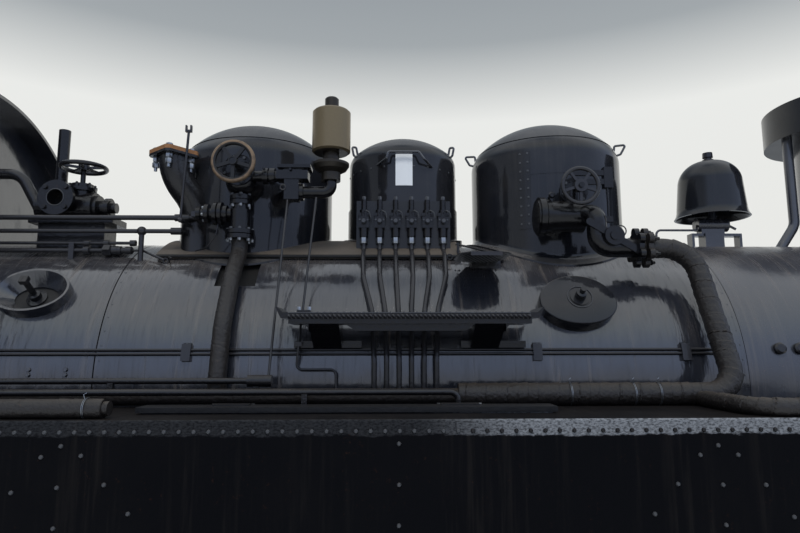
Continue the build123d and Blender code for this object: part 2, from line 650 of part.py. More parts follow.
def sand_dome_top():
    """The upper part of the sand box up to its crown."""
    end_r, rise, crown_r = shoulder_arc(SAND_R, SAND_SHOULDER, SAND_TURN)
    z0, z1 = TOP_Z + SAND_SKIRT_TALL, TOP_Z + SAND_WALL
    low = crown_r * sin(radians(SAND_TURN))
    curve = JernArc((SAND_R, 0), (0, 1), SAND_SHOULDER, SAND_TURN)
    edge = Polyline((end_r, rise), (0, rise), (0, 0), (SAND_R, 0))
    shoulder = Pos(SAND_X, 0, z1) * revolve(make_face(Plane.XZ * (curve + edge)), Axis.Z)
    ball = Pos(SAND_X, 0, z1 + rise - low) * Sphere(crown_r)
    cap = ball & standing(SAND_R, z1 + rise, z1 + 2 * SAND_R, SAND_X)
    return standing(SAND_R, z0, z1, SAND_X) + shoulder + cap


def blank_plate():
    """A small enamelled plate on the front of the sand box, without any sign."""
    low, high = TOP_Z + 315, TOP_Z + 506
    ring = standing(SAND_R + FIT + 3, low, high, SAND_X) - standing(SAND_R + FIT, low, high, SAND_X)
    return ring & box(SAND_X - 50, SAND_X + 50, -SAND_R - 10, 0, low, high)


def sand_rail():
    """The long handle on the front of the sand box."""
    y0, z1 = -SAND_R * 0.88, TOP_Z + RAIL_RISE
    y1 = -SAND_R - RAIL_OUT
    route = ((SAND_X - 158, y0, z1 - 60), (SAND_X - 104, y1, z1 - 42), (SAND_X - 92, y1, z1),
             (SAND_X + 86, y1, z1), (SAND_X + 116, y1, z1 - 42), (SAND_X + 168, y0, z1 - 72))
    bar = pipe(RAIL_R, route, (14, 16, 16, 14))
    return bar - standing(SAND_R + FIT, TOP_Z, TOP_Z + SAND_WALL, SAND_X)


def dome_ring(x, azimuth, outline):
    """A bent lifting ring that stands out from a dome's shoulder, in a plane through its axis."""
    ring = pipe(RING_R, [(reach, 0, rise) for reach, rise in outline], RING_R * 1.4)
    return Pos(x, 0, TOP_Z) * Rot(0, 0, azimuth) * ring


def dome_handles():
    """The lifting rings of two of the domes and the long rail on the front of the sand box."""
    handles = [sand_rail()]
    for (x, azimuths, outline), dome in zip(RINGS, (dome_casing(FEED_X, FEED_WALL), sand_dome_top())):
        for azimuth in azimuths:
            handles += (dome_ring(x, azimuth, outline) - dome).solids()
    return Compound(children=handles)


# Sand gear
def valve_xs():
    """X of the six sand valves."""
    first = VALVE_MID_X - (SAND_VALVES - 1) * VALVE_PITCH / 2
    return [first + place * VALVE_PITCH for place in range(SAND_VALVES)]


def valve_y():
    """Y of the sand valves, in front of their chest."""
    return -(SAND_R + CHEST_OUT + VALVE_R + FIT)


def sand_valves():
    """Six upright sand valves, each with its spindle cap, yoke and nut."""
    y, high = valve_y(), TOP_Z + CHEST_HIGH
    valves = []
    for x in valve_xs():
        low = high - VALVE_TALL
        valve = standing(VALVE_R, low, high - 60, x, y) + standing(VALVE_R - 9, high - 60, high, x, y)
        valve += box(x - 33, x + 33, y - 20, y + VALVE_R, high - 96, high - 78)
        valve += box(x - 29, x + 29, y - 26, y + VALVE_R, high - 165, high - 100)
        valve += rod(15, (x, y, high - 130), (x, y - 44, high - 130))
        nut = Pos(x, y, low - NUT_TALL) * extrude(RegularPolygon(NUT_R, 6), amount=NUT_TALL)
        valves.append(valve + nut)
    return Compound(children=[solid for valve in valves for solid in valve.solids()])


def sand_pipes():
    """Six pipes from the valves down the boiler's side, drawn together under the step."""
    start_z = TOP_Z + CHEST_HIGH - VALVE_TALL - NUT_TALL
    lift = SAND_PIPE_R + SAND_PIPE_GAP + 2 * (CONDUIT_R + FIT)
    bends = (40, 90, 90, 90, 90)
    pipes = []
    for place, x in enumerate(valve_xs()):
        low_x = SAND_PIPE_LOW_X + (place - (SAND_VALVES - 1) / 2) * SAND_PIPE_PITCH
        route = [(x, valve_y(), start_z), (x, valve_y(), start_z - 40)]
        for angle, share in SAND_PIPE_TURNS:
            y, z = on_clad(angle, lift)
            route.append((x + (low_x - x) * share, y, z))
        route.append((low_x, -CLAD_R - lift + 7, AXIS_Z - SAND_PIPE_END))
        pipes.append(pipe(SAND_PIPE_R, route, bends))
    return Compound(children=pipes)


# Step board
def step():
    """The tread with its turned-up ends, its channels and the two corbelled legs on their pads."""
    y1 = -(CLAD_R + STEP_GAP)
    y0 = y1 - STEP_DEEP
    z = AXIS_Z + STEP_RISE
    board = box(STEP_X0, STEP_X1, y0, y1, z, z + TREAD_T)
    board += box(STEP_X0 + CHANNEL_IN, STEP_X1 - CHANNEL_IN, y0 + 8, y1, z - CHANNEL_T, z)
    (top_x0, top_x1), (low_x0, low_x1) = STEP_MIDDLE
    under_z = z - CHANNEL_T
    low_z = under_z - STEP_MIDDLE_T
    middle = ((top_x0, under_z), (top_x1, under_z), (low_x1, low_z), (low_x0, low_z))
    board += along_y(middle, y0 + 30, y1)
    for end_x, way in ((STEP_X0, -1), (STEP_X1, 1)):
        tip = ((-8, 0), (-8, TREAD_T), (0, TREAD_T), (STEP_TIP_OUT, STEP_TIP_RISE),
               (STEP_TIP_OUT + 8, STEP_TIP_RISE), (8, 0))
        board += along_y([(end_x + way * out, z + rise) for out, rise in tip], y0, y1)
    foot_y = pad_foot()
    for (x0, x1, pad_x0, pad_x1), way in zip(STEP_LEGS, (-1, 1)):
        outline = Polyline((foot_y + 60, AXIS_Z + PAD_HIGH), (foot_y - PAD_OUT, AXIS_Z + PAD_LOW),
                           (y0 + 20, under_z), (foot_y + 60, under_z), close=True)
        leg = Pos(x0, 0, 0) * extrude(Plane.YZ * make_face(outline), amount=x1 - x0)
        pad = box(pad_x0, pad_x1, foot_y - PAD_OUT, foot_y + 60, AXIS_Z + PAD_LOW, AXIS_Z + PAD_HIGH)
        board += leg + pad + corbel(x0 if way < 0 else x1, way, y0 + 20, y1, under_z)
    return off_boiler(board)


def pad_foot():
    """Y of the cladding at the lower edge of the step's pads."""
    return -sqrt(CLAD_R ** 2 - PAD_LOW ** 2)


def along_y(outline, y0, y1):
    """A bar along Y with an outline of (x, z) points."""
    face = Plane.XZ * make_face(Polyline(*outline, close=True))
    return Pos(0, y1, 0) * extrude(face, amount=y1 - y0)


def corbel(x, way, y0, y1, z):
    """The hollow corner between a leg and the channel over it."""
    x0, x1 = sorted((x, x + way * CORBEL_R))
    middle = Pos(x + way * CORBEL_R, (y0 + y1) / 2, z - CORBEL_R)
    hollow = middle * Rot(90, 0, 0) * Cylinder(CORBEL_R, y1 - y0)
    return box(x0, x1, y0, y1, z - CORBEL_R, z) - hollow


def conduits():
    """The two thin pipes along the side and the clips that hold them."""
    lift = CONDUIT_R + FIT
    parts = []
    for angle in CONDUIT_ANGLES:
        y, z = on_clad(angle, lift)
        parts.append(lying(CONDUIT_R, CAB_X, CONDUIT_FRONT_X, y, z))
    low, high = CONDUIT_ANGLES[0] - 2.2, CONDUIT_ANGLES[1] + 2.2
    (low_y, low_z), (high_y, high_z) = on_clad(low), on_clad(high)
    for x in CLIP_X:
        band = lying(CLAD_R + 2 * CONDUIT_R + 2 * FIT + CLIP_T, x - CLIP_LONG / 2, x + CLIP_LONG / 2)
        clip = band & box(x - CLIP_LONG / 2, x + CLIP_LONG / 2, low_y - 60, high_y + 20, low_z, high_z)
        for angle in CONDUIT_ANGLES:
            y, z = on_clad(angle, lift)
            clip -= lying(CONDUIT_R + FIT, x - CLIP_LONG, x + CLIP_LONG, y, z)
        parts.append(off_boiler(clip))
    return Compound(children=[solid for part in parts for solid in part.solids()])


# Washout openings
def washout_plane(x, angle):
    """The plane that touches the cladding's right side, with its X along the boiler."""
    turn = radians(angle)
    return Plane(Vector(x, *on_clad(angle)), x_dir=Vector(1, 0, 0), z_dir=Vector(0, -cos(turn), sin(turn)))


def oval(half_long, half_tall, low, high):
    """An upright drum on an ellipse."""
    return Pos(0, 0, low) * extrude(Ellipse(half_long, half_tall), amount=high - low)


def washout_cover():
    """A thick oval cover on the cladding, bulged outwards, with its stud and nut."""
    top = WASHOUT_T
    half_long, half_tall = WASHOUT_LONG / 2 + COVER_GROW, WASHOUT_TALL / 2 + COVER_GROW
    plate = oval(half_long, half_tall, -40, top) & Pos(0, 0, top - BULGE_R) * Sphere(BULGE_R)
    plate = fillet(plate.edges().filter_by(GeomType.BSPLINE), WASHOUT_ROUND)
    stud = turned(((0, top - 20), (50, top - 20), (50, top + 4), (28, top + 4), (26, top + 40),
                   (14, top + 44), (14, top + 72), (0, top + 72)))
    return off_boiler(washout_plane(WASHOUT_X, WASHOUT_ANGLE) * (plate + stud))


def handhole_neck(gap=0.0):
    """Half length and half height of the handhole's neck in the cladding."""
    return WASHOUT_LONG / 2 - NECK_IN + gap, WASHOUT_TALL / 2 - NECK_IN + gap


def handhole():
    """The thick oval rim of the rear opening, dished down to its bore through the cladding."""
    plane = washout_plane(HANDHOLE_X, HANDHOLE_ANGLE)
    rim = off_boiler(plane * oval(WASHOUT_LONG / 2, WASHOUT_TALL / 2, -40, HANDHOLE_T))
    neck = plane * oval(*handhole_neck(), -2 * CLAD_T, HANDHOLE_T)
    mouth_long, mouth_tall = WASHOUT_LONG / 2 - 12, WASHOUT_TALL / 2 - 12
    dish = loft([Pos(0, 0, -HANDHOLE_SINK) * Ellipse(*HANDHOLE_BORE),
                 Pos(0, 0, HANDHOLE_T) * Ellipse(mouth_long, mouth_tall)], ruled=True)
    bore = oval(*HANDHOLE_BORE, -2 * CLAD_T, -HANDHOLE_SINK + 1)
    ring = rim + neck - plane * dish - plane * bore
    return ring - lying(CLAD_R - CLAD_T + FIT, HANDHOLE_X - WASHOUT_LONG, HANDHOLE_X + WASHOUT_LONG)


def handhole_plug():
    """The plug in the firebox behind the handhole's bore, with its long square-headed spindle."""
    outline = ((0, -10), (50, -10), (50, 8), (28, 12), (28, 38), (15, 42), (15, 150), (0, 150))
    plug = turned(outline) + Pos(0, 0, 148) * Box(38, 38, 26)
    plane = washout_plane(HANDHOLE_X, HANDHOLE_ANGLE)
    plug = plane * Pos(0, 0, -CLAD_T) * plug
    return plug - lying(CLAD_R - CLAD_T, HANDHOLE_X - WASHOUT_LONG, HANDHOLE_X + WASHOUT_LONG)


def washout_plugs():
    """The two small plugs low on the smokebox and the one behind the handhole."""
    y, z = on_clad(PLUG_ANGLE)
    out = (0, -cos(radians(PLUG_ANGLE)), sin(radians(PLUG_ANGLE)))
    outline = ((0, -10), (29, -10), (29, 16), (20, 22), (0, 22))
    plugs = [off_boiler(turned_at(outline, (x, y, z), out)) for x in PLUG_X]
    return Compound(children=[*plugs[0].solids(), *plugs[1].solids(), *handhole_plug().solids()])


# Side tanks
def tank():
    """A hollow tank with its filler mouth, a coaming and the lugs of the lid's pins."""
    outer = box(CAB_X, TANK_FRONT_X, -TANK_OUT, -TANK_IN, 0, TANK_TOP)
    long_edges = outer.edges().filter_by(Axis.X).filter_by(lambda edge: edge.center().Z > 1)
    outer = fillet(long_edges, TANK_CORNER)
    inner = box(CAB_X + TANK_WALL, TANK_FRONT_X - TANK_WALL, -TANK_OUT + TANK_WALL,
                -TANK_IN - TANK_WALL, TANK_WALL, TANK_TOP - TANK_WALL)
    y0, y1 = -TANK_OUT + MOUTH_OUT, -TANK_OUT + MOUTH_IN
    wall = COAMING_T
    rim = box(MOUTH_X0 - wall, MOUTH_X1 + wall, y0 - wall, y1 + wall, TANK_TOP, TANK_TOP + COAMING_TALL)
    body = outer - inner + rim
    body -= box(MOUTH_X0, MOUTH_X1, y0, y1, TANK_TOP - TANK_WALL, TANK_TOP + COAMING_TALL)
    pin_y, pin_z = lid_pin()
    for x0, x1 in LID_HINGES:
        for low in (x0 - 14, x1):
            body += box(low, low + 14, pin_y - 9, pin_y + 9, TANK_TOP, pin_z)
            body += lying(9, low, low + 14, pin_y, pin_z)
        body += lying(LID_PIN_R, x0, x1, pin_y, pin_z)
    return body


def lid_pin():
    """Y and Z of the pins on the inner side of the right tank's lid."""
    lid_y = -TANK_OUT + MOUTH_IN + COAMING_T + LID_CLEAR + LID_T
    return lid_y + 10, TANK_TOP + COAMING_TALL


def filler_lid():
    """A long folded lid over the filler's coaming, with its two hinge barrels."""
    x0, x1 = MOUTH_X0 - COAMING_T - LID_LAP, MOUTH_X1 + COAMING_T + LID_LAP
    y1 = -TANK_OUT + MOUTH_IN + COAMING_T + LID_CLEAR + LID_T
    y0 = -TANK_OUT + MOUTH_OUT - COAMING_T - LID_CLEAR - LID_T
    high = TANK_TOP + COAMING_TALL
    low = high - LID_RIM
    lid = box(x0, x1, y0, y1, low, high + LID_T)
    lid -= box(x0 + LID_T, x1 - LID_T, y0 + LID_T, y1 - LID_T, low, high)
    lid -= box(x0, x1, y1 - LID_REAR, y1, low, high - LID_REAR_RIM)
    pin_y, pin_z = lid_pin()
    for hinge_x0, hinge_x1 in LID_HINGES:
        barrel_x0, barrel_x1 = hinge_x0 + 1, hinge_x1 - 1
        leaf = box(barrel_x0, barrel_x1, y1 - 50, pin_y, high + LID_T, high + LID_T + 4)
        barrel = lying(9, barrel_x0, barrel_x1, pin_y, pin_z)
        web = box(barrel_x0, barrel_x1, y1, pin_y, high, high + LID_T + 4)
        lid += leaf + barrel + web
        lid -= lying(LID_PIN_R + FIT, barrel_x0, barrel_x1, pin_y, pin_z)
    return lid


def tank_stretchers():
    """Cross members between the tanks, under the boiler."""
    beams = []
    for x in (TANK_FRONT_X - 120, -2700, -4250):
        half = TANK_IN
        beam = box(x - 60, x + 60, -half, half, 0, 160)
        for side in (-1, 1):
            y0, y1 = sorted((side * (half - 160), side * half))
            beam += box(x - 10, x + 10, y0, y1, 160, 420)
        beams.append(beam)
    return Compound(children=beams)


# Cab front
def roof_line(grow):
    """The cab's outline over its sides, grown outwards, and its half width."""
    arc_r, crown_z = ROOF_R + grow, AXIS_Z + ROOF_RISE + grow
    turn = radians(ROOF_TURN)
    y, z = arc_r * sin(turn), crown_z - arc_r * (1 - cos(turn))
    side_y = TANK_OUT + grow
    knee_z = z - (side_y - y) * sin(turn) / cos(turn)
    arch = ThreePointArc((-y, z), (0, crown_z), (y, z))
    eaves = [FilletPolyline((side * y, z), (side * side_y, knee_z), (side * side_y, EAVE_Z), radius=KNEE_R)
             for side in (-1, 1)]
    return arch + eaves[0] + eaves[1], side_y


def roof_face(grow, bottom_z):
    """The cab's front outline down to a height, grown outwards."""
    outline, side_y = roof_line(grow)
    foot = Polyline((-side_y, EAVE_Z), (-side_y, bottom_z), (side_y, bottom_z), (side_y, EAVE_Z))
    return make_face(Plane.YZ * (outline + foot))


def cab_front():
    """The cab's front sheet round the firebox, with its two windows."""
    sheet = Pos(CAB_X - CAB_T, 0, 0) * extrude(roof_face(0, 0), amount=CAB_T, dir=(1, 0, 0))
    sheet -= firebox_section(-FIT, 0, CAB_X - CAB_T, CAB_X)
    for side in (-1, 1):
        y, z = side * WINDOW_Y, AXIS_Z + WINDOW_RISE
        frame = lying(WINDOW_R + 30, CAB_X, CAB_X + 14, y, z)
        sheet = sheet + frame - lying(WINDOW_R, CAB_X - CAB_T, CAB_X + 14, y, z)
    return sheet


def roof_edge():
    """The front strip of the roof, with a bead along its edge."""
    skirt_z, long, back_x = EAVE_Z - 40, ROOF_BACK + ROOF_OVER, CAB_X - ROOF_BACK
    bead_x, bead = CAB_X + ROOF_OVER - 3 * ROOF_BEAD, 3 * ROOF_BEAD
    strip = Pos(back_x, 0, 0) * extrude(roof_face(CAB_T, skirt_z), amount=long, dir=(1, 0, 0))
    strip += Pos(bead_x, 0, 0) * extrude(roof_face(CAB_T + ROOF_BEAD, skirt_z), amount=bead, dir=(1, 0, 0))
    return strip - Pos(back_x, 0, 0) * extrude(roof_face(FIT, skirt_z), amount=long, dir=(1, 0, 0))


# Bell and whistle
def bell():
    """The fixed bell with its flared rim and the nut on top."""
    outside = (Line((0, 375), (30, 375)) + ThreePointArc((30, 375), (132, 342), (190, 240))
               + Line((190, 240), (206, 60))
               + ThreePointArc((206, 60), (211, 28), (224, 0)) + Line((224, 0), (212, 0)))
    inside = (ThreePointArc((212, 0), (198, 30), (192, 60)) + Line((192, 60), (174, 236))
              + Polyline((174, 236), (150, 290), (102, 332), (30, 352), (30, 330), (0, 330), (0, 375)))
    cup = revolve(make_face(Plane.XZ * (outside + inside)), Axis.Z)
    nut = turned(((0, 365), (40, 365), (36, 388), (24, 388), (24, 400), (32, 404), (30, 436), (0, 436)))
    return Pos(BELL_X, 0, TOP_Z + BELL_RIM) * (cup + nut)


def bell_bracket():
    """The stool under the bell with the striker's cylinder, its block and its bent pipe."""
    x0, x1, z = BELL_STOOL_X0, BELL_STOOL_X1, TOP_Z + BELL_STOOL_RISE
    wide, thick = BELL_STOOL_Y, BELL_STOOL_T
    stool = box(x0, x1, -wide, wide, z - thick, z)
    for x in (x0, x1 - thick):
        stool += box(x, x + thick, -wide, wide, TOP_Z - 20, z)
    block_x0, block_x1 = BELL_X - 74, BELL_X + 46
    stool += box(block_x0, block_x1, -wide - 12, wide + 12, TOP_Z - 20, z)
    stool += box(block_x0 - 16, block_x1 + 12, -wide, wide, z, z + 30)
    stool += standing(26, z, TOP_Z + BELL_RIM + 330, BELL_X)
    drum_z = TOP_Z + STRIKER_RISE
    stool += lying(STRIKER_R, BELL_X - 110, BELL_X + 90, 0, drum_z)
    stool += rod(8, (BELL_X + 90, 0, drum_z + 6), (BELL_X + 150, 0, drum_z - 26))
    pipe_y, bend_z = STRIKER_PIPE_Y, AXIS_Z + 918
    route = ((STRIKER_PIPE_X, pipe_y, TOP_Z - 30), (STRIKER_PIPE_X, pipe_y, bend_z),
             (BELL_X - 160, pipe_y, bend_z), (BELL_X - 100, 0, drum_z))
    return off_boiler(stool + pipe(7, route, (30, 30)))


def whistle():
    """The brass whistle over its cup, with its cap."""
    cup, body, top, cap = WHISTLE_CUP_RISE, WHISTLE_BODY_RISE, WHISTLE_TOP_RISE, WHISTLE_CAP_RISE
    outline = ((0, cup), (52, cup), (52, cup + 44), (84, cup + 62), (98, cup + 84), (98, cup + 98),
               (60, cup + 112), (44, cup + 116), (44, body), (WHISTLE_R - 12, body),
               (WHISTLE_R, body + 10), (WHISTLE_R, top - 10), (WHISTLE_R - 10, top),
               (38, top + 4), (38, cap - 8), (30, cap), (0, cap))
    return turned(outline, WHISTLE_X, WHISTLE_Y, AXIS_Z)


def whistle_valve():
    """The elbow below the whistle and the valve block that joins it to the steam dome."""
    y, x0, x1 = WHISTLE_Y, WHISTLE_BLOCK_X0, WHISTLE_BLOCK_X1
    elbow_z, cup_z = AXIS_Z + WHISTLE_ELBOW_RISE, AXIS_Z + WHISTLE_CUP_RISE
    middle = (x0 + x1) / 2
    route = ((middle, y, elbow_z), (WHISTLE_X, y, elbow_z), (WHISTLE_X, y, cup_z))
    valve = pipe(WHISTLE_ELBOW_R, route, 40) + lying(46, x1 - 46, x1 - 26, y, elbow_z)
    link_z = AXIS_Z + STOP_LINK_RISE
    valve += box(x0, x1, y - 46, y + 46, link_z - 24, link_z + 24)
    valve += box(x0 + 6, x1 + 14, y - 54, y + 54, link_z + 36, link_z + 54)
    valve += box(middle - 50, middle + 50, y - 36, y + 36, link_z + 24, link_z + 36)
    valve += box(middle - 42, middle + 36, y - 40, y + 40, elbow_z - WHISTLE_BLOCK_LOW, link_z - 24)
    valve += rod(45, (middle, y, elbow_z), (STEAM_X + 180, -DOME_R + 90, elbow_z))
    return valve - standing(DOME_R + FIT, TOP_Z - 400, TOP_Z + STEAM_WALL, STEAM_X)


# Steam dome valve
def dome_valve():
    """The stop valve on the dome's front over the flange of the rear pipe, with its two side branches."""
    x, y, low = STOP_X, STOP_Y, AXIS_Z + STOP_LOW_RISE
    joint, middle, wheel_z = AXIS_Z + STOP_JOINT_RISE, AXIS_Z + STOP_BODY_RISE, AXIS_Z + STOP_WHEEL_RISE
    body = Pos(x, y, middle) * Sphere(84) + standing(44, low, middle, x, y)
    for z in (low, joint):
        body += standing(60 if z == joint else 78, z, z + 22, x, y)
        body += standing(60 if z == joint else 78, z + 27, z + 49, x, y)
    body += standing(56, low + 49, joint - 30, x, y)
    for radius, from_y in ((74, y), (98, -DOME_R - 28)):
        body += rod(radius, (x, from_y, middle), (x, -DOME_R + 60, middle))
    bonnet_z = wheel_z - 14
    for radius, near, far in STOP_BONNET:
        body += rod(radius, (x, y - near, bonnet_z), (x, y - far, bonnet_z))
    body += rod(SPINDLE_R + 2, (x, y, wheel_z), (x, y - 205, wheel_z))
    branch_z = AXIS_Z + STOP_BRANCH_RISE
    for radius, near, far in STOP_BRANCH:
        body += lying(radius, x - far, x - near, y, branch_z)
    link_y, link_z = WHISTLE_Y, AXIS_Z + STOP_LINK_RISE
    body += lying(30, x, WHISTLE_BLOCK_X0, link_y, link_z)
    body += lying(45, WHISTLE_BLOCK_X0 - 76, WHISTLE_BLOCK_X0 - 48, link_y, link_z)
    body += lying(45, WHISTLE_BLOCK_X0 - 40, WHISTLE_BLOCK_X0 - 12, link_y, link_z)
    return body - standing(DOME_R + FIT, TOP_Z - 400, TOP_Z + STEAM_WALL, STEAM_X)


def dome_valve_wheel():
    """The handwheel of the steam dome's stop valve."""
    x, y, z = STOP_X, STOP_WHEEL_Y, AXIS_Z + STOP_WHEEL_RISE
    wheel = handwheel(STOP_WHEEL_R, 14, 22, 5, (x, y, z), (0, -1, 0))
    return wheel - rod(SPINDLE_R + 2 + FIT, (x, y + 60, z), (x, y - 60, z))


# Feed valve
def feed_valve():
    """The lying clack box before the feed dome, its bonnet, side bracket and elbow to the main pipe."""
    x0, x1, y, z = CLACK_X0, CLACK_X1, CLACK_Y, AXIS_Z + CLACK_RISE
    middle = (x0 + x1) / 2
    body = lying(CLACK_R, x0 + 10, x0 + 40, y, z) + lying(CLACK_R - 14, x0, x0 + 10, y, z)
    body += lying(CLACK_R - 8, x0 + 46, x0 + 70, y, z) + lying(CLACK_R - 20, x0 + 10, x1, y, z)
    body += rod(CLACK_R - 24, (middle, y, z), (middle, -DOME_R + 60, z))
    bonnet_x, bonnet_z = FEED_WHEEL_X, AXIS_Z + FEED_WHEEL_RISE
    body += standing(58, z, bonnet_z, bonnet_x, y)
    body += rod(58, (bonnet_x, y + 58, bonnet_z), (bonnet_x, y - 40, bonnet_z))
    body += rod(76, (bonnet_x, y - 18, bonnet_z), (bonnet_x, y - 40, bonnet_z))
    body += rod(SPINDLE_R, (bonnet_x, y - 40, bonnet_z), (bonnet_x, FEED_WHEEL_Y - 25, bonnet_z))
    body += feed_elbow(x1, y, z) + feed_link() + feed_bracket()
    return off_boiler(body) - dome_casing(FEED_X, FEED_WALL)


def feed_bracket():
    """The fork beside the bonnet, its drop rod and the short arm below."""
    x0, y, fork = FEED_WHEEL_X, CLACK_Y, FEED_FORK_X
    low, high = [AXIS_Z + rise for rise in FORK_RISES]
    bracket = box(fork - FORK_LONG, fork, y - 12, y + 30, low, high)
    for z in (low + 18, high - 48):
        bracket += box(x0, fork - FORK_LONG, y - 10, y + 10, z, z + FORK_BAR)
    arm_z = AXIS_Z + CLACK_RISE
    bracket += standing(6, arm_z, low, fork - 30, y)
    return bracket + box(CLACK_X1 - 30, fork - 12, y - 18, y + 18, arm_z - FORK_BAR, arm_z)


def feed_elbow(x, y, z):
    """The bent pipe from the clack box to the flange of the main pipe."""
    flange_z = AXIS_Z + JOINT_RISE
    route = ((x - 30, y, z), (ELBOW_X, JOINT_Y, z), (ELBOW_X, JOINT_Y, flange_z),
             (JOINT_X, JOINT_Y, flange_z))
    elbow = pipe(ELBOW_R, route, (52, 70))
    return elbow + lobed_flange(JOINT_X - JOINT_T)


def feed_link():
    """The clamping link over the elbow, with its round boss."""
    y = JOINT_Y - ELBOW_R + 8
    run_x, run_z = 245, -148
    length = sqrt(run_x ** 2 + run_z ** 2)
    slot = Plane.XZ * Rot(0, 0, -degrees(asin(-run_z / length))) * SlotCenterToCenter(length, 36)
    centre = Pos(ELBOW_X + 68, y, AXIS_Z + JOINT_RISE + 55)
    link = centre * extrude(slot, amount=16)
    boss = centre * Rot(90, 0, 0) * (Pos(0, 0, 15) * Cylinder(50, 30) + Pos(0, 0, 34) * Cylinder(24, 8))
    foot = centre * Pos(0, 25, 20) * Box(90, 50, 30)
    return link + boss + foot


def feed_valve_wheel():
    """The handwheel of the feed valve."""
    x, z = FEED_WHEEL_X, AXIS_Z + FEED_WHEEL_RISE
    wheel = handwheel(FEED_WHEEL_R, 11, 34, 5, (x, FEED_WHEEL_Y, z), (0, -1, 0))
    return wheel - rod(SPINDLE_R + FIT, (x, FEED_WHEEL_Y + 60, z), (x, FEED_WHEEL_Y - 60, z))


# Safety valve stand behind the steam dome
def safety_elbow():
    """The pipe that rises beside the steam dome and bends out to a square flange."""
    foot_x, foot_y = VENT_FOOT
    top_x, top_y = VENT_TOP
    top_z = AXIS_Z + VENT_RISE
    route = ((foot_x, foot_y, AXIS_Z + CLAD_R / 2), (foot_x, foot_y, AXIS_Z + VENT_BEND_RISES[0]),
             (top_x, top_y, AXIS_Z + VENT_BEND_RISES[1]), (top_x, top_y, top_z))
    elbow = pipe(VENT_R, route, VENT_BEND_R) + vent_plate(top_z - VENT_FLANGE_T, VENT_FLANGE_T)
    casing_r, casing_z = VENT_R + VENT_CASING_T, AXIS_Z + VENT_CASING_RISE
    casing = standing(casing_r, AXIS_Z + CLAD_R / 2, casing_z, foot_x, foot_y)
    clear = standing(DOME_R + FIT, AXIS_Z, TOP_Z + STEAM_WALL, STEAM_X)
    return off_boiler(elbow + casing) - dome_casing(STEAM_X, STEAM_WALL) - clear


def vent_plate(z, thick):
    """A square plate on the vent, with its corners cut and one side towards the dome."""
    top_x, top_y = VENT_TOP
    turn = degrees(asin(-top_y / sqrt((STEAM_X - top_x) ** 2 + top_y ** 2)))
    side = VENT_PLATE
    plate = chamfer(Box(side, side, thick).edges().filter_by(Axis.Z), 18)
    return Pos(top_x, top_y, z + thick / 2) * Rot(0, 0, turn) * plate


def blank_flange():
    """The rusty plate bolted over the vent's flange."""
    return vent_plate(AXIS_Z + VENT_RISE, VENT_BLANK_T)


# Turret
def turret():
    """The steam turret: pedestal, lying casting, open branch, bonnet and open stub."""
    x0, x1, y, z = TURRET_X0, TURRET_X1, TURRET_Y, AXIS_Z + TURRET_RISE
    body = lying(TURRET_R, x0, x1, y, z)
    for from_x, to_x, radius in TURRET_ENDS:
        body += lying(radius, x1 + from_x, x1 + to_x, y, z)
    plate_z = z - TURRET_R - 16
    body += box(x0 - 20, x1 + 138, y - 90, y + 90, plate_z, plate_z + 36)
    body += box(x0 + 30, x1 + 88, y - 74, y + 74, AXIS_Z + CLAD_R / 2, plate_z)
    body += standing(62, z, z + 140, TURRET_X, y) + standing(78, z + 96, z + 116, TURRET_X, y)
    body += standing(SPINDLE_R, z, z + 262, TURRET_X, y)
    branch_x, branch_z, branch_y = TURRET_X - 71, z + 30, y - 150
    body += rod(TURRET_R * 0.8, (branch_x, y, branch_z), (branch_x, branch_y, branch_z))
    body += rod(100, (branch_x, branch_y + 25, branch_z), (branch_x, branch_y, branch_z))
    body += standing(STUB_R, z, AXIS_Z + STUB_RISE, *STUB_AT) + rod(56, (STUB_AT[0], y, z), (*STUB_AT, z))
    body -= rod(45, (branch_x, branch_y + 90, branch_z), (branch_x, branch_y, branch_z))
    body -= standing(STUB_R - 6, z + 150, AXIS_Z + STUB_RISE, *STUB_AT)
    return off_boiler(body)


def turret_wheel():
    """The handwheel on the turret's spindle."""
    z = AXIS_Z + TURRET_WHEEL_RISE
    wheel = handwheel(TURRET_WHEEL_R, 13, 30, 5, (TURRET_X, TURRET_Y, z), (0, 0, 1))
    return wheel - standing(SPINDLE_R + FIT, z - 60, z + 60, TURRET_X, TURRET_Y)


def turret_pipe():
    """The bent pipe from the cab's front sheet down to the turret."""
    y, z = TURRET_Y - 50, AXIS_Z + TURRET_RISE
    bend_x, end_x = TURRET_X - 331, TURRET_X - 215
    route = ((CAB_X, y, z + 190), (bend_x, y, z + 190), (end_x, y, z - 10))
    return pipe(30, route, 120) - lying(TURRET_R + FIT, TURRET_X0, TURRET_X, TURRET_Y, z)


